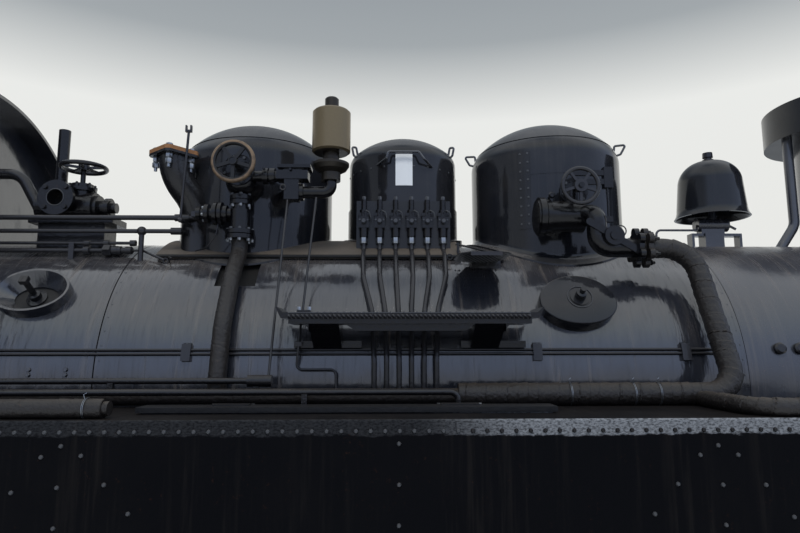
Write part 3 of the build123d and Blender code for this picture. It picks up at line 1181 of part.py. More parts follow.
# Rods
def control_rods():
    """Two rods from the cab to the vent's foot with their post, and the upright fork rod."""
    foot_x, foot_y = VENT_FOOT
    foot_r = VENT_R + VENT_CASING_T + FIT
    foot = standing(foot_r, AXIS_Z, AXIS_Z + VENT_CASING_RISE + FIT, foot_x, foot_y)
    rod_y = foot_y - foot_r - ROD_GAP
    (high_rise, high_r), (low_rise, low_r) = HIGH_ROD, LOW_ROD
    end_x = STOP_X - STOP_BRANCH_LONG
    high = lying(high_r, CAB_X, end_x, rod_y, AXIS_Z + high_rise)
    high += lying(ROD_SLEEVE, *HIGH_SLEEVE_X, rod_y, AXIS_Z + high_rise)
    arm_z = AXIS_Z + high_rise
    high += box(end_x - 2 * high_r, end_x - FIT, STOP_Y - high_r, rod_y, arm_z - high_r, arm_z + high_r)
    low = lying(low_r, CAB_X, LOW_SLEEVE_X[1], rod_y, AXIS_Z + low_rise)
    low += lying(ROD_SLEEVE, *LOW_SLEEVE_X, rod_y, AXIS_Z + low_rise)
    end = (LOW_SLEEVE_X[1] - low_r, rod_y, AXIS_Z + low_rise)
    low += rod(low_r, end, (foot_x, foot_y, AXIS_Z + low_rise)) - foot
    post_x = REAR_SEAM_X + 50
    low += off_boiler(standing(14, AXIS_Z + CLAD_R / 2, AXIS_Z + low_rise, post_x, rod_y))
    low += Pos(post_x, rod_y, AXIS_Z + low_rise) * Sphere(26)
    fork_y, fork_z = rod_y - 118, AXIS_Z + (high_rise + low_rise) / 2
    fork_low, fork_high = (foot_x - 22, fork_y, fork_z), (foot_x + 1, fork_y, AXIS_Z + FORK_ROD_RISE)
    fork = rod(7, fork_low, fork_high) + rod(12, (fork_low[0], foot_y, fork_low[2]), fork_low) - foot
    fork += Pos(*fork_low) * Sphere(14)
    head_x, head_y, head_z = fork_high
    fork += box(head_x - 17, head_x + 17, head_y - 9, head_y + 9, head_z, head_z + 12)
    for side in (-1, 1):
        prong_x = head_x + side * 13
        fork += box(prong_x - 4, prong_x + 4, head_y - 9, head_y + 9, head_z, head_z + 38)
    return Compound(children=[*high.solids(), *low.solids(), *fork.solids()])


def thin_pipes():
    """Two thin pipes from the cab along the firebox with their unions, on two blocks."""
    runs = None
    for rise, front_x, radius in THIN_RUNS:
        run = lying(radius, CAB_X, front_x, THIN_Y, AXIS_Z + rise)
        for x in (*THIN_UNIONS, front_x - 15):
            run += lying(2 * radius - 1, x - 15, x + 15, THIN_Y, AXIS_Z + rise)
        runs = run if runs is None else runs + run
    high = AXIS_Z + THIN_RUNS[0][0]
    for x in THIN_BLOCKS:
        runs += box(x - 14, x + 14, THIN_Y - 16, THIN_Y + 16, AXIS_Z + CLAD_R / 2, high)
    return off_boiler(runs)


def pull_rods():
    """The whistle's pull rod down to the union on the tank, and its drain pipe."""
    block_x, block_z = WHISTLE_BLOCK_X0 + 62, AXIS_Z + WHISTLE_ELBOW_RISE - WHISTLE_BLOCK_LOW
    high_y, high_z = HIGH_PIPE[0], AXIS_Z + HIGH_PIPE[1]
    union_x0, union_x1, union_r = HIGH_PIPE_UNION
    pull = rod(PULL_ROD_R, (block_x, WHISTLE_Y - 22, block_z + 26), (union_x1 - 18, high_y, high_z))
    pull -= box(block_x - 60, block_x + 60, high_y, WHISTLE_Y + 60, block_z, block_z + 60)
    pull -= lying(union_r + FIT, union_x0, union_x1, high_y, high_z)
    elbow_z = AXIS_Z + WHISTLE_ELBOW_RISE - WHISTLE_ELBOW_R - 1
    high, low, end = [AXIS_Z + rise for rise in DRAIN_RISES]
    route = ((WHISTLE_X - 75, WHISTLE_Y - 20, elbow_z), (DRAIN_X0, DRAIN_Y, high),
             (DRAIN_X0 - 8, DRAIN_Y, low), (DRAIN_X1, DRAIN_Y, low), (DRAIN_X1 + 4, DRAIN_Y - 6, end))
    drain = pipe(PULL_ROD_R, route, (60, 26, 26))
    drain += box(DRAIN_X0 - 16, DRAIN_X0 + 16, DRAIN_Y - 11, pad_foot() - PAD_OUT, high, high + 20)
    return Compound(children=[*pull.solids(), *drain.solids()])


# Lagged pipes
def rear_pipe():
    """The lagged pipe from the steam dome's valve down the boiler's side."""
    x, y = STEAM_X + 26, -DOME_R - 95
    route = [(x, y, TOP_Z - 50), (x, y, TOP_Z - 120)]
    lift = REAR_LAG_R + 4 * CONDUIT_R
    for angle in (38, 20, 4):
        route.append((x, *on_clad(angle, lift)))
    route.append((x, -(CLAD_R + lift), AXIS_Z - 300))
    return off_boiler(pipe(REAR_LAG_R, route, (80, 200, 200, 200)))


def main_pipe():
    """The lagged feed pipe: down the side, back along the tank and on to the cab."""
    start_x = JOINT_X + FIT
    flange_x = start_x + JOINT_FACE
    lag_x = flange_x + JOINT_T
    joint_z = AXIS_Z + JOINT_RISE
    run_z = TANK_TOP + MAIN_LAG_R + FIT
    route = [(lag_x, JOINT_Y, joint_z)]
    route += [(x, y, max(AXIS_Z + rise, run_z)) for x, y, rise, _ in MAIN_ROUTE]
    route += [(MAIN_LAG_END_X, MAIN_RUN_Y, run_z)]
    lagged = pipe(MAIN_LAG_R, route, [bend for *_, bend in MAIN_ROUTE])
    joint = lying(MAIN_LAG_R, start_x, lag_x, JOINT_Y, joint_z) + lobed_flange(flange_x)
    bare = lying(MAIN_BARE_R, CAB_X, MAIN_LAG_END_X, MAIN_RUN_Y, run_z - MAIN_BARE_DROP)
    return lagged + joint + bare


def lobed_flange(x):
    """A flange of the main pipe's joint, with a lobe round each bolt."""
    flange = lying(JOINT_R - JOINT_LOBE_R, x, x + JOINT_T, JOINT_Y, AXIS_Z + JOINT_RISE)
    reach = JOINT_R - JOINT_LOBE_R
    for bolt in range(JOINT_LOBES):
        turn = radians(bolt * 360 / JOINT_LOBES)
        y, z = JOINT_Y + reach * sin(turn), AXIS_Z + JOINT_RISE + reach * cos(turn)
        flange += lying(JOINT_LOBE_R, x, x + JOINT_T, y, z)
    return flange


def second_pipe():
    """The two lagged pipes on the tank's outer edge: a branch of the main pipe, and one from the cab."""
    z, second_y = TANK_TOP + SECOND_R + FIT, SECOND_IN - TANK_OUT
    route = ((SECOND_BRANCH_X, MAIN_RUN_Y, z), (SECOND_BRANCH_X, second_y, z), (SECOND_END_X, second_y, z))
    branch = pipe(SECOND_R, route, 110)
    branch += lying(SECOND_R + 8, SECOND_END_X - 16, SECOND_END_X, second_y, z + 8)
    run_z = TANK_TOP + MAIN_LAG_R + FIT
    branch -= lying(MAIN_LAG_R + FIT, SECOND_BRANCH_X - 200, SECOND_BRANCH_X + 200, MAIN_RUN_Y, run_z)
    branch &= box(CAB_X, SECOND_END_X, -TANK_OUT, MAIN_RUN_Y, TANK_TOP, AXIS_Z + CLAD_R)
    outer_y, outer_z = OUTER_IN - TANK_OUT, TANK_TOP + OUTER_R + FIT
    outer = lying(OUTER_R, CAB_X, OUTER_END_X - 20, outer_y, outer_z)
    outer += lying(OUTER_R - 8, OUTER_END_X - 20, OUTER_END_X, outer_y, outer_z)
    return Compound(children=[*branch.solids(), *outer.solids()])


def tank_pipes():
    """Two pipes from the cab along the tank's inner edge, on their stools."""
    high_y, high_z = HIGH_PIPE[0], AXIS_Z + HIGH_PIPE[1]
    low_y, low_z = LOW_PIPE[0], AXIS_Z + LOW_PIPE[1]
    union_x0, union_x1, union_r = HIGH_PIPE_UNION
    high = lying(TANK_PIPE_R, CAB_X, union_x0, high_y, high_z)
    high += lying(union_r, union_x0, union_x1, high_y, high_z)
    route = ((CAB_X, low_y, low_z), (LOW_PIPE_END_X, low_y, low_z), (LOW_PIPE_END_X, low_y, TANK_TOP))
    low = pipe(TANK_PIPE_R, route, 35)
    for x in HIGH_STOOLS:
        high += box(x - 12, x + 12, high_y - 12, high_y + 12, TANK_TOP, high_z)
    for x in LOW_STOOLS:
        low += box(x - 12, x + 12, low_y - 12, low_y + 12, TANK_TOP, low_z)
    return Compound(children=[*high.solids(), *low.solids()])


def bracket_shelf():
    """The small pressed shelf between the sand box and the feed dome, on its block."""
    (top_x0, top_x1), (low_x0, low_x1) = SHELF_LONG
    top_z, low_z, y = AXIS_Z + SHELF_RISE, AXIS_Z + SHELF_RISE - SHELF_TALL, SHELF_Y
    lip = along_y(((top_x0, top_z), (top_x1, top_z), (low_x1, low_z), (low_x0, low_z)), y - 8, y)
    sheet = box(top_x0 + 10, top_x1 - 10, y - 8, y + 130, top_z - 8, top_z)
    block = box(low_x0 - 40, low_x1 + 10, y - 30, y + 60, low_z - 60, low_z + 10)
    return off_boiler(sheet + lip + block)


# Every node: its name and how it is made. Mirrored ones have a twin on the left side.
CENTRE_PARTS = {
    "barrel_shell": barrel_shell,
    "barrel_cladding": barrel_cladding,
    "smokebox": smokebox,
    "smokebox_front": smokebox_front,
    "smokebox_door": smokebox_door,
    "door_wheel": door_wheel,
    "firebox": firebox,
    "firebox_cladding": firebox_cladding,
    "backhead": backhead,
    "backhead_fittings": backhead_fittings,
    "firehole_door": firehole_door,
    "ashpan": ashpan,
    "fire_grate": fire_grate,
    "saddle": saddle,
    "chimney": chimney,
    "chimney_hood": chimney_hood,
    "hood_pipe": hood_pipe,
    "steam_dome": lambda: dome_casing(STEAM_X, STEAM_WALL),
    "steam_dome_crown": lambda: dome_crown(STEAM_X, STEAM_WALL),
    "feed_dome": lambda: dome_casing(FEED_X, FEED_WALL),
    "feed_dome_crown": lambda: dome_crown(FEED_X, FEED_WALL),
    "sand_dome": sand_dome,
    "sand_dome_top": sand_dome_top,
    "blank_plate": blank_plate,
    "dome_handles": dome_handles,
    "bell": bell,
    "bell_bracket": bell_bracket,
    "whistle": whistle,
    "whistle_valve": whistle_valve,
    "dome_valve": dome_valve,
    "dome_valve_wheel": dome_valve_wheel,
    "feed_valve": feed_valve,
    "feed_valve_wheel": feed_valve_wheel,
    "safety_elbow": safety_elbow,
    "blank_flange": blank_flange,
    "turret": turret,
    "turret_wheel": turret_wheel,
    "turret_pipe": turret_pipe,
    "control_rods": control_rods,
    "thin_pipes": thin_pipes,
    "pull_rods": pull_rods,
    "rear_pipe": rear_pipe,
    "main_pipe": main_pipe,
    "second_pipe": second_pipe,
    "tank_pipes": tank_pipes,
    "bracket_shelf": bracket_shelf,
    "tank_stretchers": tank_stretchers,
    "cab_front": cab_front,
    "roof_edge": roof_edge,
}
TWIN_PARTS = {
    "tank": tank,
    "filler_lid": filler_lid,
}
# Both sides of these are one node
PAIRED_PARTS = {
    "sand_valves": sand_valves,
    "sand_pipes": sand_pipes,
    "steps": step,
    "conduits": conduits,
    "washout_covers": washout_cover,
    "handholes": handhole,
    "washout_plugs": washout_plugs,
}


def build():
    """Writes one file for each node."""
    os.makedirs("parts", exist_ok=True)
    for name, make in CENTRE_PARTS.items():
        export_step(make(), f"parts/{name}.step")
    for name, make in TWIN_PARTS.items():
        right = make()
        export_step(right, f"parts/{name}_right.step")
        export_step(mirrored(right), f"parts/{name}_left.step")
    for name, make in PAIRED_PARTS.items():
        right = make()
        both = Compound(children=[*right.solids(), *mirrored(right).solids()])
        export_step(both, f"parts/{name}.step")


build()
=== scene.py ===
"""The looks of a steam locomotive's boiler with its side tanks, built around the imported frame."""

import json
from math import asin, cos, pi, radians, sin, sqrt

import bpy
import numpy as np
from mathutils import Matrix, Vector


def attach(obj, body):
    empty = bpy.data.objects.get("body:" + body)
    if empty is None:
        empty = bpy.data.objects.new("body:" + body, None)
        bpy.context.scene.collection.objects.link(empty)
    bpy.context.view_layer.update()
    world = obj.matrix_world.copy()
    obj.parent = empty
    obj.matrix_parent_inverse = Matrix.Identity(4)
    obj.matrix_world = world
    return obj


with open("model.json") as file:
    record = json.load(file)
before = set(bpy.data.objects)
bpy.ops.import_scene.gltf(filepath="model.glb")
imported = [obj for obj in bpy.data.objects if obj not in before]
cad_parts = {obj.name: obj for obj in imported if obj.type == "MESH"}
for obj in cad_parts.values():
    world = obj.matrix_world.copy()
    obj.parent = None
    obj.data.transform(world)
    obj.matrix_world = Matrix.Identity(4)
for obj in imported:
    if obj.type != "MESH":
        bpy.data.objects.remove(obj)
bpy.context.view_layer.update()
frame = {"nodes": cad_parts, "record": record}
NODES = frame["nodes"]
ROOT = "boiler_and_tanks"
UP, DOWN, RIGHT, FORWARD, BACKWARD = (0, 0, 1), (0, 0, -1), (0, -1, 0), (1, 0, 0), (-1, 0, 0)

# Main sizes of the boiler and tanks, in metres, in the frame's axes
AXIS_Z = 1.4
CLAD_R = 0.82
FRONT_SEAM_X, REAR_SEAM_X = -1.268, -4.452
TANK_TOP, TANK_OUT = 1.334, 1.5
TANK_REAR_X, TANK_FRONT_X = -5.7, -0.76
STEAM_X, SAND_X, FEED_X = -3.865, -2.945, -2.027
DOME_R, SAND_DOME_R = 0.465, 0.34

# Rivets of the tanks' outer sides: pitch, head, and the row's depth below the top edge. In front of
# RUBBED_X that edge is rubbed bright.
RIVET_PITCH, RIVET_R, RIVET_H = 0.0535, 0.0088, 0.0080
RIVET_ROW_DROP = 0.043
RIVET_XS = np.arange(TANK_REAR_X + 0.03, TANK_FRONT_X - 0.02, RIVET_PITCH)
RUBBED_X = -2.78
# Stays of the tanks' outer sides: place along, distance below the top
STAYS = ((-5.43, 0.13), (-5.29, 0.36), (-5.12, 0.24), (-4.96, 0.11), (-4.78, 0.35), (-4.63, 0.22),
         (-4.50, 0.10), (-4.381, 0.251), (-4.285, 0.129), (-4.224, 0.374), (-4.221, 0.235), (-4.217, 0.091),
         (-4.143, 0.125), (-4.055, 0.226), (-3.964, 0.326), (-2.998, 0.088), (-2.998, 0.232),
         (-2.999, 0.373), (-2.071, 0.339), (-1.980, 0.235), (-1.891, 0.133), (-1.822, 0.099),
         (-1.813, 0.379), (-1.814, 0.239), (-1.750, 0.133), (-1.655, 0.240), (-1.561, 0.353),
         (-1.38, 0.12), (-1.24, 0.25), (-1.02, 0.36), (-0.92, 0.14))

# Screws of the cladding, with angles in degrees above the centre line on the right side
CLIP_XS, CLIP_ANGLES = (-5.100, -4.014, -2.307, -1.573), (14.35, 9.65)
SHEET_BOLT_XS, SHEET_BOLT_ANGLES = (-4.758, -4.583), (4.5, 6.2)
HIGH_SCREW_XS, HIGH_SCREW_ANGLE = (-4.470, -4.434), 46.0
SEAM_SCREW_OFF, SEAM_SCREW_ANGLES = 0.022, np.arange(4.0, 52.0, 5.2)

# Sheet over the boiler's top between the domes, from its front edge to its rear edge
COVER_X = (-2.632, -4.313)
COVER_R, COVER_T, COVER_FOLD, COVER_ANGLE = 0.85, 0.003, 0.026, 55.6
COVER_BEAD_R = 0.0085

# Small foot plate behind the feed dome: its box, and what is cut off its corners
FOOT_X, FOOT_Y, FOOT_Z = (-2.690, -2.424), (-0.880, -0.520), (2.052, 2.057)
FOOT_CUT, FOOT_BACK_CUT, FOOT_LIP = 0.055, 0.10, 0.014
STUD_PITCH, STUD_ROWS_APART = 0.022, 0.026

# Lagged pipes: radius, corners of the route, bends
MAIN_Y, MAIN_Z = -1.020, 1.3833
MAIN_PIPE = (0.049, ((-1.688, -0.710, 2.103), (-1.468, -0.722, 2.097), (-1.447, MAIN_Y, MAIN_Z),
                     (-2.722, MAIN_Y, MAIN_Z)), (0.150, 0.135))
SECOND_PIPE = (0.033, ((-1.640, -1.10, 1.3673), (-1.640, -1.459, 1.3673), (-0.818, -1.459, 1.3673)),
               (0.110,))
OUTER_Y, OUTER_Z = -1.442, 1.3693
OUTER_PIPE = (0.035, ((-5.68, OUTER_Y, OUTER_Z), (-4.10, OUTER_Y, OUTER_Z)), ())
REAR_PIPE_X, REAR_PIPE_R, REAR_PIPE_OFF = -3.839, 0.041, 0.069
REAR_PIPE_ANGLES, REAR_PIPE_BENDS = np.array((38, 20, 4)), (0.08, 0.20, 0.20, 0.20)
TAPE_STEP = 0.0042
# Wire ties: place along, then the pipe's radius and its other two places
WIRE_TIES = ((-2.224, 0.049, MAIN_Y, MAIN_Z), (-1.938, 0.049, MAIN_Y, MAIN_Z),
             (-1.824, 0.049, MAIN_Y, MAIN_Z), (-4.165, 0.035, OUTER_Y, OUTER_Z))

# Sand valves: places along, the line of their spindles, their nuts' level and the height above it
VALVE_XS = -2.951 + 0.090 * (np.arange(6) - 2.5)
VALVE_Y, VALVE_NUT_Z, VALVE_TALL = -0.4243, 2.170, 0.255

# Vent beside the steam dome: its middle, the bolts' distance from it and the levels of their ends
VENT_X, VENT_Y, VENT_BOLT_OFF = -4.251, -0.460, 0.068
VENT_NUT_Z, VENT_HEAD_Z = 2.575, 2.694

# Riveted strip and lapped seam on the feed dome: azimuths from the right side forwards, heights,
# thickness; then the azimuths and heights of the rivets on both domes
FEED_STRIPS = (((-33.0, -24.4), (2.262, 2.722), 0.0035), ((-24.4, 24.0), (2.579, 2.583), 0.0020))
FEED_RIVET_AZIMUTHS, FEED_RIVET_ZS = (-31.4, -26.0), np.arange(2.29, 2.72, 0.052)
SAND_RIVET_AZIMUTHS, SAND_RIVET_ZS = np.arange(-170, 190, 15.0), (2.655, 2.34)

# Valves' flanges
STOP_VALVE_X, STOP_VALVE_Y = -3.839, -0.560
PIPE_JOINT = (-1.688, -0.710, 2.103)
TURRET_FACE = (-4.905, -0.450, 2.430)
TURRET_BONNET = (-4.834, -0.300, 2.516)

# Step: ends, the front edge's place and levels, teeth
STEP_REAR_X, STEP_FRONT_X = -3.488, -2.392
STEP_Y, STEP_LOW_Z, STEP_HIGH_Z, TREAD_Z = -1.050, 1.722, 1.746, 1.7508
TOOTH_PITCH, TOOTH_DEPTH, TOOTH_LEAN = 0.0205, 0.0095, 0.45
RIDGE_XS = np.arange(-3.45, -2.42, 0.030)

# Thin pipe over the firebox
THIN_Y, THIN_Z = -0.450, AXIS_Z + 0.727

# Camera, found by fitting the photograph, then the floor and the lamp
CAMERA_AT, CAMERA_LENS = (-3.040, -3.728, 1.600), 26.666
CAMERA_PITCH, CAMERA_YAW, CAMERA_ROLL = 7.63, 1.192, -0.084
FLOOR_MIDDLE_X, FLOOR_HALF = -2.8, 60.0
LAMP_AT, LAMP_AIM, LAMP_SIDE, LAMP_RADIANCE = (-3.0, -6.5, 10.0), (-3.0, -0.4, 2.0), 3.0, 18.0

# Sky behind the boiler, before its right side, and in the open patch there: sine of the height above
# the horizon, colour
SKY_BEHIND = ((0.0, (0.80, 0.80, 0.77)), (0.36, (0.82, 0.83, 0.81)), (0.47, (0.36, 0.39, 0.41)),
              (0.58, (0.28, 0.31, 0.34)), (0.75, (0.32, 0.35, 0.39)), (1.0, (0.46, 0.51, 0.58)))
SKY_BEFORE = ((0.0, (0.50, 0.52, 0.55)), (0.20, (0.42, 0.45, 0.50)), (0.35, (0.32, 0.35, 0.41)),
              (0.50, (0.22, 0.26, 0.33)), (0.66, (0.62, 0.70, 0.82)), (0.80, (0.92, 0.96, 1.0)),
              (0.97, (0.80, 0.85, 0.92)), (1.0, (0.46, 0.51, 0.58)))
SKY_PATCH = ((0.0, (0.50, 0.53, 0.60)), (0.08, (0.50, 0.56, 0.72)), (0.22, (0.53, 0.64, 0.92)),
             (0.42, (0.56, 0.68, 0.94)), (0.62, (0.80, 0.90, 1.0)), (0.80, (0.95, 0.98, 1.0)),
             (0.97, (0.80, 0.85, 0.92)), (1.0, (0.46, 0.51, 0.58)))


# Meshes from arrays: a shape is its points with arrays of faces, one array for each number of corners
def wall(rows, columns, loop=False):
    """Quads between a grid's points, joined round the columns and, in a loop, round the rows too."""
    row, column = np.meshgrid(np.arange(rows if loop else rows - 1), np.arange(columns), indexing="ij")
    above, after = (row + 1) % rows, (column + 1) % columns
    corners = (row * columns + column, row * columns + after, above * columns + after, above * columns + column)
    return np.stack(corners, -1).reshape(-1, 4)


def flat_ends(rows, sides):
    """One face over a grid's first row and one over its last, both turned outwards."""
    return np.stack((np.arange(sides)[::-1], (rows - 1) * sides + np.arange(sides)))


def lathe(profile, sides):
    """Rings of a profile's radii at its heights, turned about Z, point (r cos t, r sin t, h) for t in
    equal steps, with a fan to the axis at both ends."""
    profile = np.asarray(profile, float)
    turn = np.linspace(0, 2 * pi, sides, endpoint=False)
    ring = np.stack((np.cos(turn), np.sin(turn)), axis=1)
    points = np.concatenate((profile[:, None, :1] * ring[None], np.repeat(profile[:, None, 1:], sides, 1)), 2)
    rows = len(profile)
    poles = np.array(((0, 0, profile[0, 1]), (0, 0, profile[-1, 1])))
    vertices = np.concatenate((points.reshape(-1, 3), poles))
    column = np.arange(sides)
    after = (column + 1) % sides
    top = (rows - 1) * sides
    low = np.stack((after, column, np.full(sides, rows * sides)), 1)
    high = np.stack((column + top, after + top, np.full(sides, rows * sides + 1)), 1)
    return vertices, (wall(rows, sides), np.concatenate((low, high)))


def frames_along(directions):
    """Three axes for each direction, the third along it, the first square to it and as level as can be."""
    z = directions / np.linalg.norm(directions, axis=1, keepdims=True)
    guide = np.where(np.abs(z[:, 2:3]) > 0.99, np.array([[1.0, 0, 0]]), np.array([[0, 0, 1.0]]))
    x = np.cross(guide, z)
    x /= np.linalg.norm(x, axis=1, keepdims=True)
    return np.stack((x, np.cross(z, x), z), axis=2)


def repeated(shape, places, directions, spin=0.0):
    """One small shape at many places, turned about its Z by the spin, its Z along each place's direction:
    place + axes times point."""
    vertices, faces = shape
    places = np.atleast_2d(np.asarray(places, float))
    directions = np.broadcast_to(np.asarray(directions, float), places.shape)
    axes = frames_along(directions)
    turn = np.array(((cos(spin), -sin(spin), 0), (sin(spin), cos(spin), 0), (0, 0, 1)))
    points = np.einsum("nij,kj->nki", axes, vertices @ turn.T) + places[:, None, :]
    shift = len(vertices) * np.arange(len(places))[:, None, None]
    return points.reshape(-1, 3), [(group[None] + shift).reshape(-1, group.shape[1]) for group in faces]


def circle(centre, direction, radius, count, phase=0.0):
    """Points on a circle about a centre, square to a direction."""
    axes = frames_along(np.array([direction], float))[0]
    turn = phase + np.linspace(0, 2 * pi, count, endpoint=False)
    ring = np.stack((np.cos(turn), np.sin(turn), np.zeros(count)), 1) * radius
    return ring @ axes.T + np.asarray(centre)


def ring_axes(path, closed):
    """Two axes square to a path at each of its points: the cross product of the path's direction with the
    world axis that it follows least, and the one square to both."""
    if closed:
        ahead = np.roll(path, -1, 0) - np.roll(path, 1, 0)
    else:
        ahead = np.gradient(path, axis=0)
    ahead /= np.linalg.norm(ahead, axis=1, keepdims=True)
    guide = np.eye(3)[np.argmin(np.abs(ahead).max(axis=0))]
    across = np.cross(guide, ahead)
    across /= np.linalg.norm(across, axis=1, keepdims=True)
    return across, np.cross(ahead, across)


def tube(path, radius, sides, closed=False):
    """A round section carried along a path: point = path + radius (cos t, sin t) in the path's axes. The
    radius is one number or a grid over rows and sides. The ends are flat."""
    path = np.asarray(path, float)
    rows = len(path)
    across, up = ring_axes(path, closed)
    turn = np.linspace(0, 2 * pi, sides, endpoint=False)
    ring = across[:, None] * np.cos(turn)[None, :, None] + up[:, None] * np.sin(turn)[None, :, None]
    points = (path[:, None] + np.broadcast_to(radius, (rows, sides))[..., None] * ring).reshape(-1, 3)
    if closed:
        return points, (wall(rows, sides, loop=True),)
    return points, (wall(rows, sides), flat_ends(rows, sides))


def arcs(corners, bends, step=0.01):
    """A path through corners whose turns are true arcs: each is the circle of its bend's radius that
    touches both runs, with all points about a step apart."""
    corners = np.asarray(corners, float)
    stations = [corners[:1]]
    for before, corner, after, bend in zip(corners[:-2], corners[1:-1], corners[2:], bends):
        back = (before - corner) / np.linalg.norm(before - corner)
        on = (after - corner) / np.linalg.norm(after - corner)
        half = np.arccos(np.clip(back @ on, -1, 1)) / 2
        centre = corner + (back + on) / np.linalg.norm(back + on) * bend / sin(half)
        start, end = corner + back * bend / np.tan(half), corner + on * bend / np.tan(half)
        sweep = pi - 2 * half
        share = np.linspace(0, 1, max(5, int(sweep * bend / step)))[:, None]
        stations.append(centre + ((start - centre) * np.sin((1 - share) * sweep)
                                  + (end - centre) * np.sin(share * sweep)) / np.sin(sweep))
    stations.append(corners[-1:])
    points = np.concatenate(stations)
    lengths = np.concatenate(((0.0,), np.cumsum(np.linalg.norm(np.diff(points, axis=0), axis=1))))
    even = np.linspace(0, lengths[-1], max(2, int(lengths[-1] / step)))
    return np.stack([np.interp(even, lengths, points[:, axis]) for axis in range(3)], 1)


def grid(*values):
    """Points on a grid from three arrays of X, Y and Z that fit together."""
    return np.stack(np.broadcast_arrays(*values), -1)


def block(low, high):
    """The eight corners of a box between two corners, with its six faces."""
    pick = np.stack(np.meshgrid((0, 1), (0, 1), (0, 1), indexing="ij"), -1).reshape(-1, 3)
    vertices = np.where(pick == 0, np.asarray(low, float), np.asarray(high, float))
    sides = ((0, 1, 3, 2), (4, 6, 7, 5), (0, 4, 5, 1), (2, 3, 7, 6), (0, 2, 6, 4), (1, 5, 7, 3))
    return vertices, (np.array(sides),)


def carried(rows):
    """A closed strip from its section at each station: rows are stations of the same number of points round
    the section, joined by quads, with flat ends."""
    count, sides = rows.shape[:2]
    return rows.reshape(-1, 3), (wall(count, sides), flat_ends(count, sides))


def put(name, data):
    """A new object of the scene with its mesh, lamp or camera."""
    thing = bpy.data.objects.new(name, data)
    bpy.context.scene.collection.objects.link(thing)
    return thing


def piece(name, shapes, finish=None, body=ROOT, slot="gloss_paint", smooth=35):
    """One object from several shapes: their points joined, their faces counted on. It has a finish of its
    own or its slot's."""
    starts = np.cumsum([0] + [len(points) for points, _ in shapes])
    faces = [group + start for (_, groups), start in zip(shapes, starts) for group in groups]
    points = np.concatenate([points for points, _ in shapes])
    corners = np.concatenate([group.ravel() for group in faces])
    sizes = np.concatenate([np.full(len(group), group.shape[1]) for group in faces])
    mesh = bpy.data.meshes.new(name)
    mesh.vertices.add(len(points))
    mesh.vertices.foreach_set("co", points.ravel())
    mesh.loops.add(len(corners))
    mesh.loops.foreach_set("vertex_index", corners)
    mesh.polygons.add(len(sizes))
    mesh.polygons.foreach_set("loop_start", np.cumsum(sizes) - sizes)
    mesh.update(calc_edges=True)
    mesh.polygons.foreach_set("use_smooth", np.ones(len(sizes), bool))
    mesh.set_sharp_from_angle(angle=radians(smooth))
    mesh.materials.append(finish or PAINT[slot])
    thing = put(name, mesh)
    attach(thing, body)


# Small shapes that are used many times, each with its foot just below zero
def rivet(radius, height):
    """A round head: rings of a flattened half circle."""
    return lathe(((radius, -0.001), (radius * 0.94, height * 0.45), (radius * 0.62, height * 0.86)), 8)


def hexagon(radius, height):
    """A hexagon head with a chamfered top."""
    return lathe(((radius, -0.001), (radius, height * 0.82), (radius * 0.86, height)), 6)


def stud(radius, height):
    """A plain round stud end with a small chamfer."""
    return lathe(((radius, -0.001), (radius, height * 0.9), (radius * 0.8, height)), 8)


def hoop(centre, direction, radius, count, wire, sides):
    """A closed ring of round wire about a centre, square to a direction."""
    return tube(circle(centre, direction, radius, count), wire, sides, closed=True)


# Places on the boiler
def on_clad(x, angle, lift=0.0):
    """A point on the right side of the cladding: x, then the cladding's radius turned up by the angle."""
    turn = np.radians(angle)
    radius = CLAD_R + lift
    return grid(x, -radius * np.cos(turn), AXIS_Z + radius * np.sin(turn))


def off_clad(angle):
    """The direction square to the cladding at an angle."""
    return grid(0.0, -np.cos(np.radians(angle)), np.sin(np.radians(angle)))


def dome_wall(centre_x, azimuth, z, lift=0.0, radius=DOME_R):
    """A point on a dome's wall: the azimuth is counted from the right side towards the front."""
    turn = np.radians(azimuth)
    out = radius + lift
    return grid(centre_x + out * np.sin(turn), -out * np.cos(turn), z)


def off_dome(azimuth):
    """The direction square to a dome's wall at an azimuth."""
    turn = np.radians(azimuth)
    return grid(np.sin(turn), -np.cos(turn), 0.0)


# Nodes
def new_group(name, inputs, outputs):
    """A shader group with named sockets: (name, kind, value) in and (name, kind) out."""
    tree = bpy.data.node_groups.new(name, "ShaderNodeTree")
    for label, kind, value in inputs:
        socket = tree.interface.new_socket(label, in_out="INPUT", socket_type=kind)
        if value is not None:
            socket.default_value = value
    for label, kind in outputs:
        tree.interface.new_socket(label, in_out="OUTPUT", socket_type=kind)
    return tree, tree.nodes.new("NodeGroupInput"), tree.nodes.new("NodeGroupOutput")


def feed(tree, socket, value):
    """Links a socket's output to an input, or sets the input to a plain value."""
    if isinstance(value, bpy.types.NodeSocket):
        tree.links.new(value, socket)
    else:
        socket.default_value = value


def add(tree, kind, inputs=(), **properties):
    """A node of a kind, with its properties set, and its inputs set or linked by name or place."""
    node = tree.nodes.new("ShaderNode" + kind)
    for key, value in properties.items():
        setattr(node, key, value)
    for key, value in dict(inputs).items():
        feed(tree, node.inputs[key], value)
    return node


def placed(tree, group, **values):
    """A group placed in a material, with its own values or links."""
    node = tree.nodes.new("ShaderNodeGroup")
    node.node_tree = group
    for label, value in values.items():
        feed(tree, node.inputs[label.replace("_", " ").title()], value)
    return node


def combine(tree, operation, a, b=0.0, clamp=False):
    """The output of one sum, product or comparison."""
    return add(tree, "Math", operation=operation, use_clamp=clamp, inputs={0: a, 1: b}).outputs[0]


def plus(tree, *values):
    """The sum of several values."""
    result = values[0]
    for value in values[1:]:
        result = combine(tree, "ADD", result, value)
    return result


def times(tree, *values):
    """The product of several values."""
    result = values[0]
    for value in values[1:]:
        result = combine(tree, "MULTIPLY", result, value)
    return result


